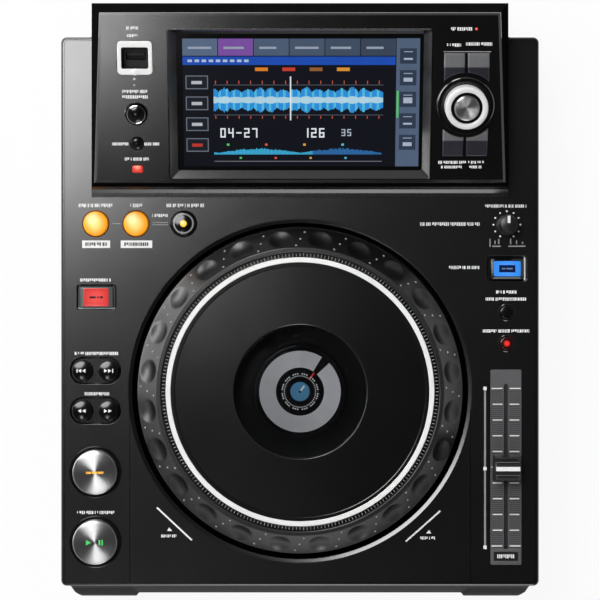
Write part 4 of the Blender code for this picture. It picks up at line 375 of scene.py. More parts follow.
def finishPiece(shape, name, finish, body=None, stands=(), smooth=35, place=None):
    if place:
        bmesh.ops.transform(shape, matrix=place, verts=shape.verts)
    mesh = bpy.data.meshes.new(name)
    shape.to_mesh(mesh)
    shape.free()
    item = bpy.data.objects.new(name, mesh)
    bpy.context.scene.collection.objects.link(item)
    if finish:
        mesh.materials.append(finishes[finish] if isinstance(finish, str) else finish)
    if smooth:
        mesh.shade_smooth()
        mesh.set_sharp_from_angle(angle=math.radians(smooth))
        for face in mesh.polygons:
            if face.area > flatFrom or abs(face.normal.z) > 0.99999:
                face.use_smooth = False
    if body:
        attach(item, body)
    if stands:
        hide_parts(*stands)
    return item


def bevelled(shape, parts, size, steps, kind="VERTICES"):
    bmesh.ops.bevel(shape, geom=parts, offset=size, offset_type="OFFSET", segments=steps, profile=0.5,
                    affect=kind, material=-1)


def freshFace(shape, known):
    return [face for face in shape.faces if face not in known][0]


def disc(shape, radius, z, centre=(0, 0), count=72):
    known = set(shape.faces)
    made = bmesh.ops.create_circle(shape, cap_ends=True, segments=count, radius=radius)["verts"]
    bmesh.ops.translate(shape, verts=made, vec=(centre[0], centre[1], z))
    return freshFace(shape, known)


def panel(shape, width, depth, corner, z, centre=(0, 0), steps=6):
    known = set(shape.faces)
    made = bmesh.ops.create_grid(shape, x_segments=1, y_segments=1, size=0.5)["verts"]
    bmesh.ops.scale(shape, verts=made, vec=(width, depth, 1))
    bmesh.ops.translate(shape, verts=made, vec=(centre[0], centre[1], z))
    bevelled(shape, made, corner, steps)
    return freshFace(shape, known)


def outline(shape, points, z, corner=0.0, steps=5):
    known = set(shape.faces)
    made = [shape.verts.new((x, y, z)) for x, y in points]
    shape.faces.new(made)
    if corner:
        bevelled(shape, made, corner, steps)
    return freshFace(shape, known)


def grow(shape, face, steps):
    # each step goes this far in from the rim and this far along the face's own direction
    for across, along in steps:
        bmesh.ops.inset_individual(shape, faces=[face], thickness=across, depth=along,
                                   use_even_offset=True)


def quarter(radius, count):
    # cosine and sine at the ends of each step of a quarter round
    turns = [math.pi / 2 * index / count for index in range(count + 1)]
    return [(radius * (math.cos(a) - math.cos(b)), radius * (math.sin(b) - math.sin(a)))
            for a, b in zip(turns, turns[1:])]


def roundOver(radius, count=4):
    # from a wall that goes along the face's direction to a flat top
    return quarter(radius, count)


def lip(radius, count=4):
    # from a flat top down into a hole
    return [(b, -a) for a, b in quarter(radius, count)]


def rimCopy(shape, face):
    # the rim as loose edges of its own, which a fill uses and closeUp joins again
    made = [shape.verts.new(vert.co) for vert in face.verts]
    return [shape.edges.new(pair) for pair in zip(made, made[1:] + made[:1])]


def openFace(shape, face):
    # takes the face away and keeps its rim for a fill
    rim = list(face.edges)
    shape.faces.remove(face)
    return rim


def fillBetween(shape, rims):
    edges = [edge for rim in rims for edge in rim]
    bmesh.ops.triangle_fill(shape, use_beauty=True, use_dissolve=False, edges=edges)


def closeUp(shape):
    bmesh.ops.remove_doubles(shape, verts=shape.verts, dist=0.002 * mm)
    bmesh.ops.recalc_face_normals(shape, faces=shape.faces)


# the shapes from here to bead take millimetres

def plate(shape, points, low, high):
    # a flat solid over an outline
    for turnOver in (False, True):
        face = outline(shape, [(x * mm, y * mm) for x, y in points], low * mm)
        face.normal_update()
        if (face.normal.z < 0) != turnOver:
            face.normal_flip()
        if not turnOver:
            grow(shape, face, [(0, (high - low) * mm)])


def puck(shape, radius, low, steps, centre=(0, 0), count=72):
    # a round solid from its flat underside through the steps of its edge and top
    facts = (radius * mm, low * mm, centre, count)
    grow(shape, disc(shape, *facts), [(across * mm, along * mm) for across, along in steps])
    disc(shape, *facts).normal_flip()
    closeUp(shape)


def block(shape, low, high):
    made = bmesh.ops.create_cube(shape, size=1.0)["verts"]
    bmesh.ops.scale(shape, verts=made, vec=[(b - a) * mm for a, b in zip(low, high)])
    bmesh.ops.translate(shape, verts=made, vec=[(a + b) / 2 * mm for a, b in zip(low, high)])
    return made


def swing(shape, verts, turn):
    bmesh.ops.rotate(shape, verts=verts, cent=(0, 0, 0), matrix=Matrix.Rotation(turn, 3, "Z"))


def blockRow(shape, low, high, count):
    # the same block at even turns round the axis
    for index in range(count):
        swing(shape, block(shape, low, high), 2 * math.pi * index / count)


def stacked(shape, levels):
    # a solid through rounded rectangles (width, depth, corner, height), from below to above
    faces = [panel(shape, width * mm, depth * mm, corner * mm, height * mm, (0, 0), 4)
             for width, depth, corner, height in levels]
    rims = [list(face.edges) for face in faces]
    for face in faces[1:-1]:
        shape.faces.remove(face)
    for first, second in zip(rims, rims[1:]):
        bmesh.ops.bridge_loops(shape, edges=first + second)
    closeUp(shape)


def turned(shape, profile, count):
    # profile points are (radius, height); one that doesn't end on the axis closes on itself
    made = [shape.verts.new((radius * mm, 0, height * mm)) for radius, height in profile]
    edges = [shape.edges.new(pair) for pair in zip(made, made[1:])]
    if profile[-1][0]:
        edges.append(shape.edges.new((made[-1], made[0])))
    bmesh.ops.spin(shape, geom=made + edges, cent=(0, 0, 0), axis=(0, 0, 1), angle=2 * math.pi,
                   steps=count, use_merge=True)
    closeUp(shape)


def turnedPiece(name, place, profile, finish, body="root", count=72, stands=(), smooth=40):
    shape = bmesh.new()
    turned(shape, profile, count)
    return finishPiece(shape, name, finish, body, stands, smooth, place)


def marks(name, boxes, finish, body="root", place=None, level=62.0, rise=0.06):
    # flat prints: each box is left, front, right, rear
    shape = bmesh.new()
    for x0, y0, x1, y1 in boxes:
        block(shape, (x0, y0, level - 0.02), (x1, y1, level + rise))
    return finishPiece(shape, name, finish, body, smooth=0, place=place)


def softened(node, finish, width=0.4, segments=2):
    # a copy of a CAD node with its seams merged and its edges rounded
    source = nodes[node]
    shape = bmesh.new()
    shape.from_mesh(source.data)
    bmesh.ops.remove_doubles(shape, verts=shape.verts, dist=0.002 * mm)
    bmesh.ops.dissolve_limit(shape, angle_limit=math.radians(0.6), use_dissolve_boundaries=False,
                             verts=shape.verts, edges=shape.edges, delimit={"NORMAL"})
    item = finishPiece(shape, node + "Soft", finish, source["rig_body"], (node,))
    edge = item.modifiers.new("edges", "BEVEL")
    edge.width = width * mm
    edge.segments = segments
    edge.limit_method = "ANGLE"
    edge.angle_limit = math.radians(32)
    edge.harden_normals = False
    edge.use_clamp_overlap = True
    return item


def bead(shape, radius, flat, place, detail=2):
    made = bmesh.ops.create_icosphere(shape, subdivisions=detail, radius=radius * mm)["verts"]
    bmesh.ops.scale(shape, verts=made, vec=(1, 1, flat))
    bmesh.ops.transform(shape, matrix=place, verts=made)


def at(x, y, z):
    return Matrix.Translation((x * mm, y * mm, z * mm))


addCamera()
addWorld()
for lightName, lightFacts in softLights.items():
    addSoftLight(lightName, lightFacts)
bpy.context.scene.view_settings.view_transform = "Standard"
addFloor()
dressNodes()
print("camera, lights, floor and finishes are set")


deck = {"thick": 3 * mm, "wall": 3 * mm, "edge": 1.7 * mm, "corner": 3.6 * mm, "bayHalf": 131.5 * mm,
        "baySide": 172.3 * mm, "lip": 0.45 * mm, "gap": 0.4 * mm, "bowl": 107.5 * mm, "slopeRun": 2.0 * mm,
        "slopeFall": 0.68 * mm}
roundKeys = {"cue_button": 14.2, "play_button": 14.2, "loop_in_button": 7.8, "loop_out_button": 7.8,
             "reloop_button": 7.8, "tempo_range_button": 4.3, "master_tempo_button": 4.3}
keyWells = {"direction_button": (20.8, 13.2), "jog_mode_button": (20.8, 13.2)}
skipWells = (("track_back_button", "track_forward_button"), ("search_back_button", "search_forward_button"))
jogMiddle = (0, -54.2 * mm)
jogPlace = Matrix.Translation((*jogMiddle, 0))
faceTurn = at(0, 78.3, 82) @ Matrix.Rotation(math.radians(15.313), 4, "X")


def middle(node):
    low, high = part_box(node)
    return (low.x + high.x) / 2, (low.y + high.y) / 2


def onDeck(node):
    return Matrix.Translation((*middle(node), 62 * mm))


def onFace(u, v):
    return faceTurn @ at(u, v, 0)


def throughHole(shape, face, lipSize, down, rims):
    rim = rimCopy(shape, face)
    grow(shape, face, lip(lipSize) + [(0, -(down - lipSize))])
    rims.append(openFace(shape, face))
    return rim


def deckPanel():
    low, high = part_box("deck_panel")
    shape = bmesh.new()
    bay = deck["bayHalf"]
    side = deck["baySide"]
    gap = deck["gap"]
    points = [(low.x, low.y), (high.x, low.y), (high.x, side), (bay, side), (bay, high.y), (-bay, high.y),
              (-bay, side), (low.x, side)]
    face = outline(shape, points, low.z, deck["corner"])
    grow(shape, face, [(0, high.z - deck["edge"] - low.z)] + roundOver(deck["edge"], 5)
         + [(0.5 * mm, 0), (0.12 * mm, -0.4 * mm), (0.2 * mm, 0), (0.12 * mm, 0.4 * mm)])
    above = [openFace(shape, face)]
    face = outline(shape, points, low.z, deck["corner"])
    grow(shape, face, [(deck["wall"], 0), (0, high.z - deck["thick"] - low.z)])
    below = [openFace(shape, face)]
    level = high.z
    for node, radius in roundKeys.items():
        edge = deck["lip"] * (1.7 if radius > 10 else 1)
        face = disc(shape, radius * mm + gap + edge, level, middle(node))
        above.append(throughHole(shape, face, edge, deck["thick"], below))
    face = disc(shape, 3.6 * mm, level, middle("speed_knob"), 32)
    above.append(throughHole(shape, face, 0.3 * mm, deck["thick"], below))
    face = disc(shape, deck["bowl"] + deck["slopeRun"] + deck["lip"], level, jogMiddle, 240)
    above.append(rimCopy(shape, face))
    grow(shape, face, [(deck["slopeRun"], -deck["slopeFall"])])
    throughHole(shape, face, deck["lip"], deck["thick"] - deck["slopeFall"], below)
    face = panel(shape, 210 * mm, 74 * mm, 2 * mm, level, (0, 136 * mm))
    above.append(throughHole(shape, face, 0.3 * mm, deck["thick"], below))
    wells = [(middle(node), (25.8, 16.8, 2.2), 1.4, [(node, size)]) for node, size in keyWells.items()]
    for left, right in skipWells:
        place = [(a + b) / 2 for a, b in zip(middle(left), middle(right))]
        wells.append((place, (33.0, 17.8, 8.7), 1.3, [(left, 6.4), (right, 6.4)]))
    for place, (width, depth, corner), sink, keys in wells:
        face = panel(shape, width * mm, depth * mm, corner * mm, level, place, 10)
        above.append(rimCopy(shape, face))
        grow(shape, face, lip(0.4 * mm, 3) + [(0.75 * mm, -(sink - 0.4) * mm)])
        floor = [openFace(shape, face)]
        bottom = level - sink * mm
        for node, size in keys:
            if isinstance(size, tuple):
                wide, deep = [length * mm + 2 * gap for length in size]
                face = panel(shape, wide, deep, 1.2 * mm, bottom, middle(node))
            else:
                face = disc(shape, size * mm + gap, bottom, middle(node))
            floor.append(throughHole(shape, face, 0.15 * mm, deck["thick"] - sink * mm, below))
        fillBetween(shape, floor)
    low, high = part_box("fader_plate")
    place = middle("fader_plate")
    face = panel(shape, high.x - low.x + 0.7 * mm, high.y - low.y + 0.7 * mm, 1 * mm, level, place)
    above.append(rimCopy(shape, face))
    grow(shape, face, [(0.1 * mm, -1 * mm)])
    floor = [openFace(shape, face)]
    face = panel(shape, 5 * mm, 110 * mm, 1 * mm, level - 1 * mm, place)
    floor.append(throughHole(shape, face, 0.1 * mm, deck["thick"] - 1 * mm, below))
    for rims in (floor, above, below):
        fillBetween(shape, rims)
    closeUp(shape)
    finishPiece(shape, "deckPanel", "deck_black", "root", ("deck_panel",))


jog = {"outer": 104, "low": 54, "shoulder": 63.3, "slopeIn": 91.7, "slopeTop": 75, "bore": 88.4,
       "ledge": 84, "dimples": 24, "first": 7.65, "dimple": 7.5, "depth": 1.35, "rows": (101.4, 97.0, 92.7),
       "slant": (1.75, 0.15, -1.5), "dot": 0.82, "ticks": 240, "round": 240}
bowlProfile = [(16.5, 46), (109.5, 46), (109.5, 56.7), (111.7, 56.7), (111.7, 58.7), (107.5, 58.7),
               (107.5, 50), (106.9, 48.6), (105.5, 48), (16.5, 48)]
plateProfile = [(42.3, 71), (87.9, 71), (88.1, 71.2), (88.1, 72.8), (85.7, 72.8), (85.7, 73.9), (85.5, 74),
                (85.35, 74), (85.35, 73.1), (81.95, 73.1), (81.95, 74), (80, 74), (79.75, 73.9), (79.6, 72.7),
                (43.1, 73.9), (42.7, 73.75), (42.3, 73.3)]
trimProfile = [(82.05, 73.3), (85.25, 73.3), (85.25, 74.0), (85.0, 74.25), (82.3, 74.25), (82.05, 74.0)]


def jogRing():
    shape = bmesh.new()
    rim, low, bore, ledge = jog["outer"], jog["low"], jog["bore"], jog["ledge"]
    outer = (rim - 0.5, jog["shoulder"])
    inner = (jog["slopeIn"], jog["slopeTop"])
    slope = [tuple(a + (b - a) * step / 26 for a, b in zip(outer, inner)) for step in range(27)]
    turned(shape, [(rim - 0.4, low), (rim, low + 0.4), (rim, jog["shoulder"] - 0.6),
                   (rim - 0.15, jog["shoulder"] - 0.2)] + slope
           + [(91.45, 75.3), (91.1, 75.5), (88.9, 75.5), (88.5, 75.3), (bore, 74.9), (bore, 70.7),
              (ledge, 70.7), (ledge, 68.9), (91, 68.9), (101.2, 61.2), (101.2, low)], 720)
    across = Vector((outer[0] - inner[0], outer[1] - inner[1])).normalized()
    middleR = (outer[0] + inner[0]) / 2
    middleZ = (outer[1] + inner[1]) / 2
    pitch = 2 * math.pi / jog["dimples"]
    for vert in shape.verts:
        radius = math.hypot(vert.co.x, vert.co.y) / mm
        height = vert.co.z / mm
        along = (radius - middleR) * across.x + (height - middleZ) * across.y
        off = (radius - middleR) * across.y - (height - middleZ) * across.x
        if abs(off) > 0.05 or abs(along) > jog["dimple"]:
            continue
        turn = (math.pi / 2 - math.atan2(vert.co.y, vert.co.x) - math.radians(jog["first"])) % pitch
        side = min(turn, pitch - turn) * radius
        share = (side ** 2 + along ** 2) / jog["dimple"] ** 2
        if share < 1:
            sink = jog["depth"] * mm * (1 - share) ** 1.15
            outward = Vector((vert.co.x, vert.co.y, 0)).normalized()
            vert.co -= (outward * abs(across.y) + Vector((0, 0, across.x))) * sink
    finishPiece(shape, "jogRing", "jog_black", "jog_wheel", ("jog_ring",), 50, jogPlace)

    dots = bmesh.new()
    for index in range(jog["dimples"]):
        for radius, slant in zip(jog["rows"], jog["slant"]):
            turn = math.pi / 2 - math.radians(360 / jog["dimples"] * index + slant)
            height = inner[1] + (radius - inner[0]) * across.y / across.x - 0.15
            bead(dots, jog["dot"], 1, at(math.cos(turn) * radius, math.sin(turn) * radius, height), 1)
    # the raised nubs are real bumps; their grey colour is a painted highlight on the black ring
    finishPiece(dots, "jogDots", "dotGrey", "jog_wheel", place=jogPlace)


def jogWheel():
    turnedPiece("jogBowl", jogPlace, bowlProfile, "bowl_black", "root", jog["round"], ("jog_bowl",), 35)
    jogRing()
    turnedPiece("jogPlate", jogPlace, plateProfile, "platter_black", "jog_wheel", jog["round"],
                ("jog_plate",), 50)
    turnedPiece("jogTrim", jogPlace, trimProfile, "white_plastic", "jog_wheel", jog["round"],
                ("jog_trim",), 50)
    ticks = bmesh.new()
    blockRow(ticks, (85.9, -0.22, 72.7), (87.8, 0.22, 73.15), jog["ticks"])
    finishPiece(ticks, "jogTicks", "dotGrey", "jog_wheel", smooth=0, place=jogPlace)
    shape = bmesh.new()
    edge = [(across / mm, along / mm) for across, along in roundOver(0.25 * mm, 3)]
    puck(shape, 41.9, 72.1, [(0, 1.2)] + edge, jogMiddle, 144)
    finishPiece(shape, "jogWindow", "window_clear", "jog_wheel", ("jog_window",), 50)


display = {"level": 70.12, "ring": (15.3, 25.9), "gap": (31, 46), "pointer": 37}


def litBlock(shape, low, high, colour):
    layers = shape.loops.layers.float_color
    tint = layers.get("tint") or layers.new("tint")
    made = block(shape, low, high)
    for face in {face for vert in made for face in vert.link_faces}:
        for loop in face.loops:
            loop[tint] = (*colour, 1)
    return made


def jogDisplay():
    softened("jog_display", "display_dark", 0.3)
    shape = bmesh.new()

    def spoke(reach, half, turn, colour, lift=0.0):
        # one mark of a round scale, its turn in degrees clockwise from the rear
        level = display["level"] + lift
        made = litBlock(shape, (-half, reach[0], level), (half, reach[1], level + 0.06), colour)
        swing(shape, made, -math.radians(turn))

    for index in range(180):
        turn = 2 * index + 1
        if not display["gap"][0] < turn < display["gap"][1]:
            tone = 0.52 + 0.07 * math.sin(turn * 0.021) + (0.012 if index % 2 else -0.012)
            spoke(display["ring"], 0.62, turn, (tone, tone, tone * 1.02))
    spoke((10.0, 15.0), 0.5, display["pointer"], (0.75, 0.05, 0.04))
    for index in range(48):
        if index % 4:
            spoke((11.0, 11.7), 0.45, 7.5 * index, (0.98, 0.99, 1.0))
        spoke((9.7, 10.2), 0.4, 7.5 * index, (0.8, 0.81, 0.83))
    for index in range(60):
        spoke((0.8, 6.1), 0.34, 6 * index, (0.09, 0.27, 0.45))
    spoke((0.6, 4.6), 0.5, display["pointer"], (0.8, 0.85, 0.9), 0.02)
    finishPiece(shape, "jogDisplayPicture", "litPicture", "root", smooth=0, place=jogPlace)


def console():
    housing = softened("console_housing", "housingBlack", 0.35, 3)
    housing.data.materials.append(finishes["wallMatt"])
    for face in housing.data.polygons:
        if face.normal.y > 0.5 or abs(face.normal.x) > 0.8 or face.normal.y < -0.8:
            face.material_index = 1
    softened("console_face", "console_black", 0.25)
    softened("screen_bezel", "bezel_gloss", 0.15)
    softened("touch_glass", "screen_glass", 0.1)


picture = {"left": -73.1, "right": 74.6, "low": 9.0, "high": 89.8, "side": 60.0, "level": -5.22,
           "waveMiddle": 51.2, "waveStart": -54.0}
tones = {"slate": (0.085, 0.125, 0.20), "night": (0.004, 0.005, 0.009), "pale": (0.80, 0.84, 0.9),
         "dim": (0.45, 0.50, 0.58), "beat": (0.62, 0.10, 0.05), "rule": (0.12, 0.14, 0.18)}
strokes = {"0": "abcdef", "1": "bc", "2": "abged", "3": "abgcd", "4": "fgbc", "5": "afgcd", "6": "afgedc",
           "7": "abc", "-": "g"}


def numeral(shape, value, u, v, tall, colour, level):
    # plain figures made of seven strokes, as on any display
    wide = tall * 0.56
    line = tall * 0.15
    half = tall / 2
    places = {"a": (0, tall - line, wide, tall), "b": (wide - line, half, wide, tall),
              "c": (wide - line, 0, wide, half), "d": (0, 0, wide, line), "e": (0, 0, line, half),
              "f": (0, half, line, tall), "g": (0, half - line / 2, wide, half + line / 2)}
    for name in strokes[value]:
        x0, y0, x1, y1 = places[name]
        litBlock(shape, (u + x0, v + y0, level), (u + x1, v + y1, level + 0.03), colour)
    return wide + line * 1.8


def screenPicture():
    # a picture of the kind such players show, made up: a time line, a level strip, keys and figures
    shape = bmesh.new()
    chance = random.Random(7)
    level = picture["level"]
    left, right, start = picture["left"], picture["right"], picture["waveStart"]

    def patch(u0, v0, u1, v1, colour, lift=0.03):
        litBlock(shape, (u0, v0, level), (u1, v1, level + lift), colour)

    patch(left, picture["low"], right, picture["high"], tones["night"], 0.02)
    patch(picture["side"], picture["low"], right, picture["high"], tones["slate"])
    for index in range(5):
        low = 74.0 - index * 13.6
        patch(62.2, low, 72.6, low + 9.6, (0.03, 0.045, 0.08), 0.05)
        patch(64.6, low + 2.4, 70.2, low + 2.4 + 1.2 * (1 + index % 3), (0.42, 0.48, 0.58), 0.07)
        patch(64.6, low + 7.2, 70.2, low + 7.8, (0.30, 0.36, 0.46), 0.07)
    patch(60.4, 40, 61.6, 57, (0.10, 0.62, 0.12), 0.06)
    for index in range(6):
        u = left + index * 22.2
        fade = 1.15 - 0.13 * index
        tone = (0.20, 0.08, 0.36) if index == 1 else tuple(c * fade for c in tones["slate"])
        patch(u, 79.0, u + 21.7, 89.6, tone)
        patch(u + 3.4, 83.2, u + 18.0 - 2 * (index % 3), 84.6, (0.32, 0.37, 0.46), 0.05)
    patch(left, 73.2, 59.4, 78.4, (0.012, 0.075, 0.45))
    for index in range(9):
        patch(-70 + index * 4.4, 75.0, -67.2 + index * 4.4, 76.6, (0.45, 0.55, 0.75), 0.05)
    cues = ((0.75, 0.22, 0.02), (0.6, 0.05, 0.03), (0.30, 0.12, 0.03), (0.75, 0.30, 0.04))
    for index, tone in enumerate(cues):
        patch(-28 + index * 17, 69.4, -20 + index * 17, 71.6, tone)
    centre = picture["waveMiddle"]
    for index in range(212):
        u = start + index * 0.5
        beat = abs(math.sin(u * 0.43)) ** 0.6 * (0.62 + 0.38 * math.sin(u * 0.113 + 1.0) ** 2)
        tall = 4.4 + 4.0 * beat * (0.6 + 0.4 * chance.random())
        tone = (0.035, 0.33, 0.86) if index % 9 < 6 else (0.10, 0.62, 0.92)
        patch(u, centre - tall, u + 0.42, centre + tall, tone)
        patch(u, centre - tall * 0.3, u + 0.42, centre + tall * 0.3, (0.55, 0.82, 0.95), 0.05)
    for index in range(15):
        u = -53.0 + index * 7.3
        patch(u, 61.2, u + 0.5, 63.4, tones["beat"])
        patch(u, 39.4, u + 0.5, 41.2, tones["beat"])
    patch(start, 60.5, 52, 60.8, tones["rule"])
    patch(start, 41.6, 52, 41.9, tones["rule"])
    patch(-6.3, 38.4, -5.5, 66.0, (0.85, 0.87, 0.9), 0.07)
    for text, u, v, tall, tone in (("04-27", -50.0, 27.4, 6.0, "pale"), ("126", 2.0, 27.4, 6.0, "pale"),
                                   ("35", 26.0, 28.4, 4.4, "dim")):
        for value in text:
            u += numeral(shape, value, u, v, tall, tones[tone], level + 0.02)
    for index in range(124):
        u = start + index * 0.85
        tall = 1.0 + 3.2 * abs(math.sin(u * 0.061)) * (0.6 + 0.4 * chance.random())
        tone = (0.05, 0.45, 0.75) if u < 8 else (0.03, 0.16, 0.42)
        patch(u, 16.6, u + 0.7, 16.6 + tall, tone)
    dots = ((0.1, 0.6, 0.15), (0.75, 0.1, 0.05), (0.75, 0.4, 0.05), (0.1, 0.5, 0.7))
    for index, tone in enumerate(dots):
        patch(-46 + index * 24, 22.2, -44.4 + index * 24, 23.6, tone)
        patch(-38 + index * 22, 13.8, -36.6 + index * 22, 15.0, tone)
    patch(start, 12.0, 51.5, 12.5, (0.16, 0.17, 0.19))
    for index in range(4):
        low = 58.0 - index * 13.2
        patch(-71.4, low, -57.4, low + 8.6, (0.16, 0.18, 0.22))
        patch(-70.8, low + 0.6, -58.0, low + 8.0, (0.010, 0.013, 0.02), 0.05)
        tone = (0.5, 0.04, 0.03) if index == 3 else (0.5, 0.52, 0.56)
        patch(-67.8, low + 3.2, -61.2, low + 5.2, tone, 0.07)
    finishPiece(shape, "screenPicture", "litPicture", "root", smooth=0, place=faceTurn)


usb = {"place": (-102.3, 78.3), "tongue": ((-5.6, 0.15, -12.8), (5.6, 2.2, -8.25)), "mouth": -1.3,
       "lamp": (2.2, 0.8),
       "lampTop": [(0.2, 0.35), (0.24, 0.1056), (0.24, 0.0768), (0.24, 0.048), (0.24, 0.0192)]}


def usbPort():
    place = onFace(*usb["place"])
    frameSoft = softened("usb_frame", "white_plastic", 0.3, 3)
    frameSoft.data.materials.append(finishes["port_black"])
    for face in frameSoft.data.polygons:
        if (place.inverted() @ face.center).z < usb["mouth"] * mm:
            face.material_index = 1
    softened("usb_socket", "port_black", 0.08)
    shape = bmesh.new()
    block(shape, *usb["tongue"])
    bevelled(shape, list(shape.edges), 0.2 * mm, 2, "EDGES")
    finishPiece(shape, "usbTongue", "port_black", "root", place=place)
    shape = bmesh.new()
    puck(shape, *usb["lamp"], usb["lampTop"], (0, -8.6 * mm), 32)
    finishPiece(shape, "usbLamp", "white_plastic", "root", place=place)


knob = {"place": (103.1, 48.8), "ribs": 60,
        "ring": [(6.0, 8.5), (6.0, 1.1), (13.0, 1.1), (13.2, 1.4), (13.2, 11.6), (13.0, 12.2), (12.5, 12.5),
                 (10.6, 12.5), (10.0, 12.3), (9.8, 11.9), (9.8, 10.3), (7.9, 10.3), (7.9, 9.0), (6.0, 9.0)],
        "cap": [(0, 9.1), (7.7, 9.1), (7.7, 11.7), (7.6, 12.1), (7.2, 12.35), (6.8, 12.4), (4, 12.15),
                (2, 12.0), (0, 11.95)],
        "groove": [(7.9, 10.32), (9.75, 10.32), (9.75, 10.5), (7.9, 10.5)],
        "collar": [(14.7, 0.2), (17.9, 0.2), (17.9, 1.7), (17.3, 2.35), (15.2, 2.35), (14.7, 1.9)]}


def selector():
    place = onFace(*knob["place"])
    turning = "selector_knob"
    turnedPiece("selectorRing", place, knob["ring"], "ringPale", turning, 120, (turning,))
    turnedPiece("selectorCap", place, knob["cap"], "selector_chrome", turning, 120)
    turnedPiece("selectorGroove", place, knob["groove"], "bezel_gloss", turning, 96)
    ribs = bmesh.new()
    blockRow(ribs, (13.05, -0.28, 2.0), (13.35, 0.28, 11.2), knob["ribs"])
    finishPiece(ribs, "selectorRibs", "ringPale", turning, smooth=0, place=place)
    turnedPiece("selectorCollar", place, knob["collar"], "bezel_gloss", "root", 120)
    for node in ("back_button", "tag_button", "filter_button", "shortcut_button"):
        # these side keys carry a painted highlight on their far halves
        softened(node, "keySlate", 0.35, 3)


def roundKey(name, node, place, radius, crown, finish, stem=7.6, count=72):
    # a turned cap with the flange and the stem that hold and work it
    under = -3.3
    flange = radius + 1.3
    profile = [(0, -stem), (2.2, -stem), (2.2, under - 1.0), (flange, under - 1.0), (flange, under),
               (radius, under)] + crown
    turnedPiece(name, place, profile, finish, nodes[node]["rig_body"], count, (node,))


def cushion(radius, edge, rise, crown, count=6):
    # a rounded rim and a gently swelling top, from the wall to the axis
    points = [(radius - edge * (1 - math.cos(a)), rise - edge + edge * math.sin(a))
              for a in [math.pi / 2 * index / 4 for index in range(5)]]
    flat = radius - edge
    return points + [(flat * (1 - index / count), rise + crown * (1 - (1 - index / count) ** 2))
                     for index in range(1, count + 1)]


transport = {"radius": 14.2, "crown": (14.2, 0.9, 5.2, 0.06), "stem": 7.15, "level": 5.25,
             "rim": [(14.5, -1.2), (15.3, -1.2), (16.8, -0.05), (16.65, 0.30), (15.85, 0.04), (14.5, 0.04)]}


def transportKeys():
    for node, name in (("cue_button", "cueKey"), ("play_button", "playKey")):
        roundKey(name, node, onDeck(node), transport["radius"], cushion(*transport["crown"]), "brushed_metal",
                 transport["stem"], 120)
        turnedPiece(name + "Rim", onDeck(node), transport["rim"], "key_gloss", "root", 120)
    amber = litLens("cueMark", (0.75, 0.30, 0.03), (0.9, 0.5, 0.1), middle("cue_button"), 6 * mm, 0.4)
    marks("cueMarks", [(-5.6, -0.7, -2.2, 0.7), (-1.7, -0.7, 1.7, 0.7), (2.2, -0.7, 5.6, 0.7)], amber,
          "cue_button", onDeck("cue_button"), transport["level"] + 0.01)
    green = litLens("playMark", (0.05, 0.45, 0.10), (0.15, 0.7, 0.25), middle("play_button"), 6 * mm, 0.4)
    shape = bmesh.new()
    level = transport["level"]
    plate(shape, [(-5.6, -1.8), (-2.4, 0), (-5.6, 1.8)], level, level + 0.06)
    closeUp(shape)
    for left in (2.6, 4.4):
        block(shape, (left, -1.7, level), (left + 1.0, 1.7, level + 0.06))
    finishPiece(shape, "playMarks", green, "play_button", smooth=0, place=onDeck("play_button"))


loop = {"radius": 7.8, "crown": (7.8, 0.9, 3.0, 0.85),
        "ring": [(8.0, -0.9), (8.75, -0.9), (8.75, 0.12), (8.45, 0.25), (8.0, -0.3)],
        "paleRing": [(5.6, 3.0), (6.6, 2.9), (6.5, 3.35), (5.6, 3.5)],
        "lamp": [(0, 3.5), (2.2, 3.5), (2.2, 3.8), (1.6, 3.98), (0.8, 4.05), (0, 4.08)]}


def loopKeys():
    crown = cushion(*loop["crown"])
    for node, name in (("loop_in_button", "loopInKey"), ("loop_out_button", "loopOutKey")):
        amber = litLens(name + "Amber", (0.80, 0.30, 0.010), (0.90, 0.62, 0.20), middle(node), 7.6 * mm,
                        0.45, 0.25)
        roundKey(name, node, onDeck(node), loop["radius"], crown, amber)
        turnedPiece(name + "Ring", onDeck(node), loop["ring"], "amberRing")
    node = "reloop_button"
    roundKey("reloopKey", node, onDeck(node), loop["radius"], crown, "key_gloss")
    turnedPiece("reloopRing", onDeck(node), loop["paleRing"], "dotGrey", node)
    yellow = litLens("reloopDot", (0.75, 0.45, 0.02), (0.95, 0.65, 0.2), middle(node), 2.2 * mm, 0.5)
    turnedPiece("reloopLamp", onDeck(node), loop["lamp"], yellow, node, 40)


lensFacts = {
    "direction_button": {"name": "directionKey", "size": (15.8, 11.6), "sides": "clearSides",
                         "edge": (0.50, 0.015, 0.012), "heart": (0.62, 0.05, 0.045)},
    "jog_mode_button": {"name": "jogModeKey", "size": (17.3, 9.8), "sides": "key_gloss",
                        "edge": (0.03, 0.22, 0.72), "heart": (0.06, 0.26, 0.80)}}


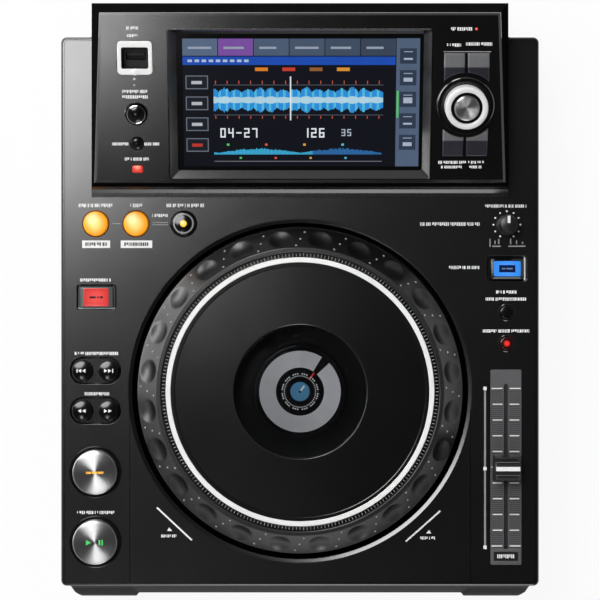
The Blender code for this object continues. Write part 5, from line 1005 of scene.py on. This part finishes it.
def lensKeys():
    for node, facts in lensFacts.items():
        wide, deep = facts["size"]
        shape = bmesh.new()
        stacked(shape, [(23.1, 15.5, 1.6, -4.3), (23.1, 15.5, 1.6, -3.3), (20.8, 13.2, 1.0, -3.3),
                        (20.8, 13.2, 1.0, 0.5), (20.2, 12.9, 1.0, 0.95), (wide + 0.8, deep + 0.8, 1.0, 1.7),
                        (wide + 0.3, deep + 0.3, 1.0, 2.0)])
        finishPiece(shape, facts["name"], facts["sides"], node, (node,), 30, onDeck(node))
        lens = litLens(facts["name"] + "Lens", facts["edge"], facts["heart"], middle(node), 9 * mm, 0.35)
        shape = bmesh.new()
        stacked(shape, [(wide, deep, 0.9, 1.9), (wide, deep, 0.9, 2.05),
                        (wide - 0.15, deep - 0.15, 0.85, 2.17),
                        (wide - 0.5, deep - 0.5, 0.8, 2.2), (wide - 3.0, deep - 3.0, 0.8, 2.15)])
        finishPiece(shape, facts["name"] + "Face", lens, node, (), 30, onDeck(node))
    node = "jog_mode_button"
    marks("jogModeInner", [(-5.2, -2.3, 5.2, 2.3)], "lensDark", node, onDeck(node), 2.16)
    marks("jogModeMark", [(-3.4, -0.5, -1.2, 0.5), (-0.6, -0.5, 3.4, 0.5)], "markBlue", node,
          onDeck(node), 2.2)
    # painted highlight: a white strip down the right side of the jog mode key's well
    marks("modeSideHighlight", [(143.4, 15.9, 144.3, 31.6)], "markWhite", level=60.9)
    node = "direction_button"
    marks("directionMark", [(-4.2, -0.6, -0.4, 0.6), (0.6, -0.6, 1.6, 0.6), (2.4, -0.6, 4.2, 0.6)],
          "bezel_gloss", node, onDeck(node), 2.16)
    # painted highlight: a pale strip along the front of the direction key's well
    marks("directionLedgeHighlight", [(-142.6, -1.9, -118.1, -1.0)], "ledgePale", level=60.9)


tempoRing = [(4.75, -0.6), (5.5, -0.6), (5.5, 0.1), (5.15, 0.3), (4.75, 0.1)]
faceKeys = {
    "usb_stop_button": {"name": "stop", "at": (-102.1, 43.3), "radius": 6.1, "crown": (6.1, 0.8, 2.6, 1.0),
                        "ring": [(6.5, -0.8), (7.4, -0.8), (7.4, 0.1), (7.0, 0.4), (6.5, -0.1)]},
    "time_mode_button": {"name": "time", "at": (-102.1, 24.5), "radius": 3.5, "crown": (3.5, 0.5, 1.6, 0.5),
                         "ring": [(3.9, -0.6), (4.6, -0.6), (4.6, 0.1), (4.3, 0.3), (3.9, -0.1)]}}


def skipKeys():
    for way, kind in ((-1, "Back"), (1, "Forward")):
        for row, shifts in (("track", (-1.7, 0.9)), ("search", (-1.7, 1.0))):
            node = row + "_" + kind.lower() + "_button"
            roundKey(row + kind + "Key", node, onDeck(node), 6.4, cushion(6.4, 0.8, 2.6, 0.55), "key_gloss")
            shape = bmesh.new()
            for shift in shifts:
                tip = shift + 1.1 * way + 0.3
                rear = shift - 1.1 * way + 0.3
                plate(shape, [(tip, 0), (rear, way * 1.2), (rear, -way * 1.2)], 2.6, 3.22)
            closeUp(shape)
            if row == "track":
                block(shape, (way * 3.0 - 0.3, -1.2, 2.8), (way * 3.0 + 0.3, 1.2, 3.2))
            finishPiece(shape, row + kind + "Mark", "markWhite", node, smooth=0, place=onDeck(node))


def smallKeys():
    skipKeys()
    red = litLens("masterRed", (0.012, 0.002, 0.002), (0.85, 0.03, 0.03), middle("master_tempo_button"),
                  2.6 * mm, 0.6, 0.14)
    for name, node, finish in (("tempoRange", "tempo_range_button", "key_gloss"),
                               ("masterTempo", "master_tempo_button", red)):
        roundKey(name + "Key", node, onDeck(node), 4.3, cushion(4.3, 0.6, 1.6, 0.35), finish)
        turnedPiece(node.split("_")[0] + "KeyRing", onDeck(node), tempoRing, "bezel_gloss")
    for node, facts in faceKeys.items():
        place = onFace(*facts["at"])
        roundKey(facts["name"] + "Key", node, place, facts["radius"], cushion(*facts["crown"]), "key_gloss",
                 13)
        turnedPiece(facts["name"] + "Ring", place, facts["ring"], "bezel_gloss")
    turnedPiece("stopGleam", onFace(*faceKeys["usb_stop_button"]["at"]),
                [(5.3, 2.3), (5.9, 2.1), (5.75, 2.55), (5.35, 2.68)], "chromeBright", "usb_stop_button")
    softened("quantize_button", litLens("quantizeRed", (0.55, 0.03, 0.02), (0.85, 0.22, 0.14),
                                        middle("quantize_button"), 3.2 * mm), 0.25)


speed = {"profile": [(0, -11), (3, -11), (3, -4.3), (4.8, -4.3), (4.8, -3.3), (3, -3.3), (3, 0.8), (6.6, 0.8),
                     (6.8, 1.0), (6.8, 2.4), (6.5, 2.8), (6.2, 3.0), (5.5, 12.2), (5.3, 12.7), (4.8, 13.0),
                     (0, 12.85)],
         "ribs": 28, "ribFoot": 3.2, "taper": 0.08, "dots": 11, "dotCircle": 8.6}


def speedKnob():
    node = "speed_knob"
    place = onDeck(node)
    turnedPiece("speedKnob", place, speed["profile"], "capBlack", node, 72, (node,), 35)
    ribs = bmesh.new()
    blockRow(ribs, (5.0, -0.2, speed["ribFoot"]), (6.35, 0.2, 12.0), speed["ribs"])
    for vert in ribs.verts:
        radius = math.hypot(vert.co.x, vert.co.y)
        if radius > 5.5 * mm:
            most = 6.4 * mm - (vert.co.z - speed["ribFoot"] * mm) * speed["taper"]
            vert.co.xy *= most / radius
    finishPiece(ribs, "speedKnobRibs", "capBlack", node, smooth=0, place=place)
    marks("speedPointer", [(-0.9, 0.6, 0.9, 5.2)], "markWhite", node, place, 13.0)
    shape = bmesh.new()
    for index in range(speed["dots"]):
        turn = math.radians(-150 + index * 30)
        reach = speed["dotCircle"]
        bead(shape, 0.62, 0.2, at(reach * math.sin(turn), reach * math.cos(turn), 0))
    finishPiece(shape, "speedDots", "markWhite", "root", place=place)


slide = {"front": -153.4, "rear": -52.6, "lines": 10, "gridStep": 1.25, "gridFrom": 11, "thin": 0.35,
         "label": [(18.8, 9.6, 1.6, 0.0), (18.8, 9.6, 1.6, 0.12), (17.6, 8.4, 1.2, 0.2)], "capTop": 14.0}


def fader():
    low, high = [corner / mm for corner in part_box("fader_plate")]
    x, thin = (low.x + high.x) / 2, slide["thin"]
    softened("fader_plate", "plate_grey", 0.15)
    first = low.y + slide["gridFrom"]
    grid = []
    for index in range(int((slide["rear"] + 1 - first) / slide["gridStep"])):
        line = first + index * slide["gridStep"]
        grid += [(low.x + 0.5, line, x - 2.0, line + thin), (x + 2.0, line, high.x - 0.5, line + thin)]
    marks("faderGrid", grid, "capBlack", rise=0.04)
    scale = []
    for index in range(slide["lines"] + 1):
        line = slide["front"] + (slide["rear"] - slide["front"]) * index / slide["lines"]
        wide = 7.0 if index % 5 == 0 else 6.2
        scale += [(x - 2.3 - wide, line - thin, x - 2.3, line + thin),
                  (x + 2.3, line - thin, x + 2.3 + wide, line + thin)]
    marks("faderScale", scale, "labelPale", rise=0.08)
    shape = bmesh.new()
    stacked(shape, slide["label"])
    finishPiece(shape, "faderLabel", "plate_grey", "root", place=at(x, low.y + 5.5, 62))
    marks("faderLabelField", [(x - 7.8, low.y + 2.6, x + 7.8, low.y + 8.4)], "capBlack", level=62.19,
          rise=0.03)
    marks("faderLabelDashes", dashes([(x - 5.6, x + 5.6, low.y + 5.5, 1.9)], 6), "labelPale", level=62.2,
          rise=0.05)
    marks("faderSlotDark", [(x - 1.25, slide["front"] - 1.0, x + 1.25, slide["rear"] + 4.0)], "port_black",
          level=60.6, rise=0.05)
    node = "fader_cap"
    softened(node, "capBlack", 0.45, 3)
    marks("faderCapLine", [(-7.6, -1.35, 7.6, 1.35)], "markWhite", node, onDeck(node), slide["capTop"])
    # painted highlights: grey lines along the crown edges of the black fader cap
    marks("faderCapEdgeHighlights", [(-7.45, -4.3, 7.45, -3.8), (-7.45, 4.0, 7.45, 4.6)], "plate_grey", node,
          onDeck(node), slide["capTop"])


printed = {  # each row of dashes is left, right, middle and height
    "deck": [(-141.7, -119.5, 64.5, 1.7), (-108.7, -100.7, 64.5, 1.7), (-85.4, -61.3, 64.5, 1.7),
             (-94.6, -84.4, 58.1, 1.5), (-140.7, -120.8, 16.8, 1.5), (-144.2, -116.3, -30.2, 1.5),
             (-137.8, -122.1, -56.0, 1.5), (-142.6, -118.9, -132.0, 1.5), (-88.8, -79.2, -147.0, 1.4),
             (118.5, 145.3, 64.1, 1.5), (95.4, 115.3, 24.8, 1.5), (125.5, 138.9, 9.1, 1.5),
             (118.8, 144.7, 4.6, 1.5), (116.9, 146.6, -15.8, 1.5), (76.9, 87.1, -148.3, 1.4),
             (76.9, 115.3, 52.6, 1.7)],
    "face": [(-110.6, -94.5, 57.4, 1.5), (-110.6, -94.5, 54.0, 1.5), (-117.6, -107.6, 24.3, 1.4),
             (-97.6, -88.2, 24.3, 1.4), (-110, -95, 14.7, 1.5), (-107.2, -99.8, 96.8, 1.5),
             (-106.8, -100.4, 92.2, 1.3), (93.2, 106.7, 96.3, 1.6), (90.9, 99.6, 86.3, 1.5),
             (102.6, 118.7, 87.0, 1.5), (86.8, 104.3, 12.6, 1.4), (105.6, 115.6, 12.6, 1.4),
             (88.6, 102.0, 9.6, 1.3), (106.4, 114.2, 9.6, 1.3)],
    "label": [(-137.4, -123.3, 39.7, 1.7), (-112.5, -96.6, 39.7, 1.7)],
    "speed": [(121.2, 38.0, 122.0, 43.2), (123.0, 38.0, 128.6, 38.8), (124.4, 39.8, 125.2, 42.0),
              (126.8, 39.8, 127.6, 43.2), (133.2, 38.0, 144.2, 38.8), (134.4, 39.8, 135.2, 43.2),
              (138.2, 39.8, 139.0, 42.2), (142.0, 39.8, 142.8, 41.2)],
    "jogLines": [((-91.6, -128.8), (-69.3, -149.6)), ((67.7, -150.5), (89.7, -131.0))],
    "jogTips": [(-83.4, -142.8, -0.4), (82.3, -144.4, 0.4)]}


def dashes(rows, seed):
    # each legend is a row of short plain bars, not letters
    chance = random.Random(seed)
    boxes = []
    for left, right, y, tall in rows:
        x = left
        while x < right - 0.3:
            wide = chance.choice((0.7, 0.9, 1.1, 0.5))
            low = y - tall * 0.66 + (0 if chance.random() < 0.75 else tall * 0.35)
            boxes.append((x, low, min(x + wide, right), y + tall * 0.66))
            x += wide + (0.34 if chance.random() < 0.86 else 1.0)
    return boxes


def legends():
    marks("deckLegends", dashes(printed["deck"], 3), "markWhite", rise=0.04)
    marks("faceLegends", dashes(printed["face"], 9), "markWhite", place=faceTurn, level=0, rise=0.04)
    marks("faceLine", [(88.8, 82.0, 118.2, 82.5)], "markGrey", place=faceTurn, level=0, rise=0.04)
    marks("labelPlates", [(-139.4, 37.3, -121.5, 42.1), (-114.7, 37.3, -94.6, 42.1)], "labelPale")
    marks("labelDashes", dashes(printed["label"], 4), "capBlack", rise=0.1)
    marks("loopBars", [(-120.2, 52.7, -115.1, 53.2), (-94.6, 53.3, -84.4, 53.8), (-94.6, 51.9, -84.4, 52.4)],
          "markGrey")
    marks("speedSymbols", printed["speed"], "markGrey")
    shape = bmesh.new()
    for ends in printed["jogLines"]:
        first, last = [Vector((*end, 62.0)) for end in ends]
        way = last - first
        made = block(shape, (0, -0.55, -0.02), (way.length, 0.55, 0.05))
        turn = Matrix.Rotation(math.atan2(way.y, way.x), 4, "Z")
        bmesh.ops.transform(shape, matrix=at(*first) @ turn, verts=made)
    for x, y, lean in printed["jogTips"]:
        plate(shape, [(x - 1.7, y - 1.0), (x + 1.7, y - 1.0), (x + lean, y + 1.3)], 61.98, 62.05)
    finishPiece(shape, "jogArrows", "markWhite", "root", smooth=0)
    marks("scaleLine", [(117.8, -154.3, 119.0, -52.6)], "markGrey", rise=0.03)
    marks("scaleSquares", [(117.3, y - 1.1, 119.5, y + 1.1) for y in (-52.6, -103.9, -154.3)], "markWhite",
          rise=0.08)
    marks("columnJoints", [(-109.1, -176.4, -108.8, -64), (108.8, -176.4, 109.1, -64)], "seamBlack",
          rise=0.02)
    shape = bmesh.new()
    for u, v, size in ((-102.9, 65.2, 0.7), (-103.0, 61.5, 0.5)):
        bead(shape, size, 0.3, onFace(u, v))
    finishPiece(shape, "smallDots", "markWhite", "root")
    shape = bmesh.new()
    bead(shape, 0.9, 0.4, onFace(108.9, 96.2))
    red = litLens("faceLampRed", (0.5, 0.01, 0.01), (0.9, 0.12, 0.08), (108.9 * mm, 171.2 * mm), 1 * mm)
    finishPiece(shape, "faceLamp", red, "root")


rounded = {"lower_case": ("case_black", 0.5), "terminal_plate": ("terminal_black", 0.15),
           "ac_inlet": ("port_black", 0.25), "lan_socket": ("port_steel", 0.12),
           "usb_b_socket": ("port_steel", 0.12), "power_button": ("port_black", 0.3)}


deckPanel()
print("deck made")
jogWheel()
jogDisplay()
print("jog wheel made")
console()
screenPicture()
usbPort()
selector()
print("console made")
transportKeys()
loopKeys()
lensKeys()
smallKeys()
speedKnob()
fader()
print("controls made")
legends()
for roundedNode, roundedFacts in rounded.items():
    softened(roundedNode, *roundedFacts)
print("legends and the rest made")
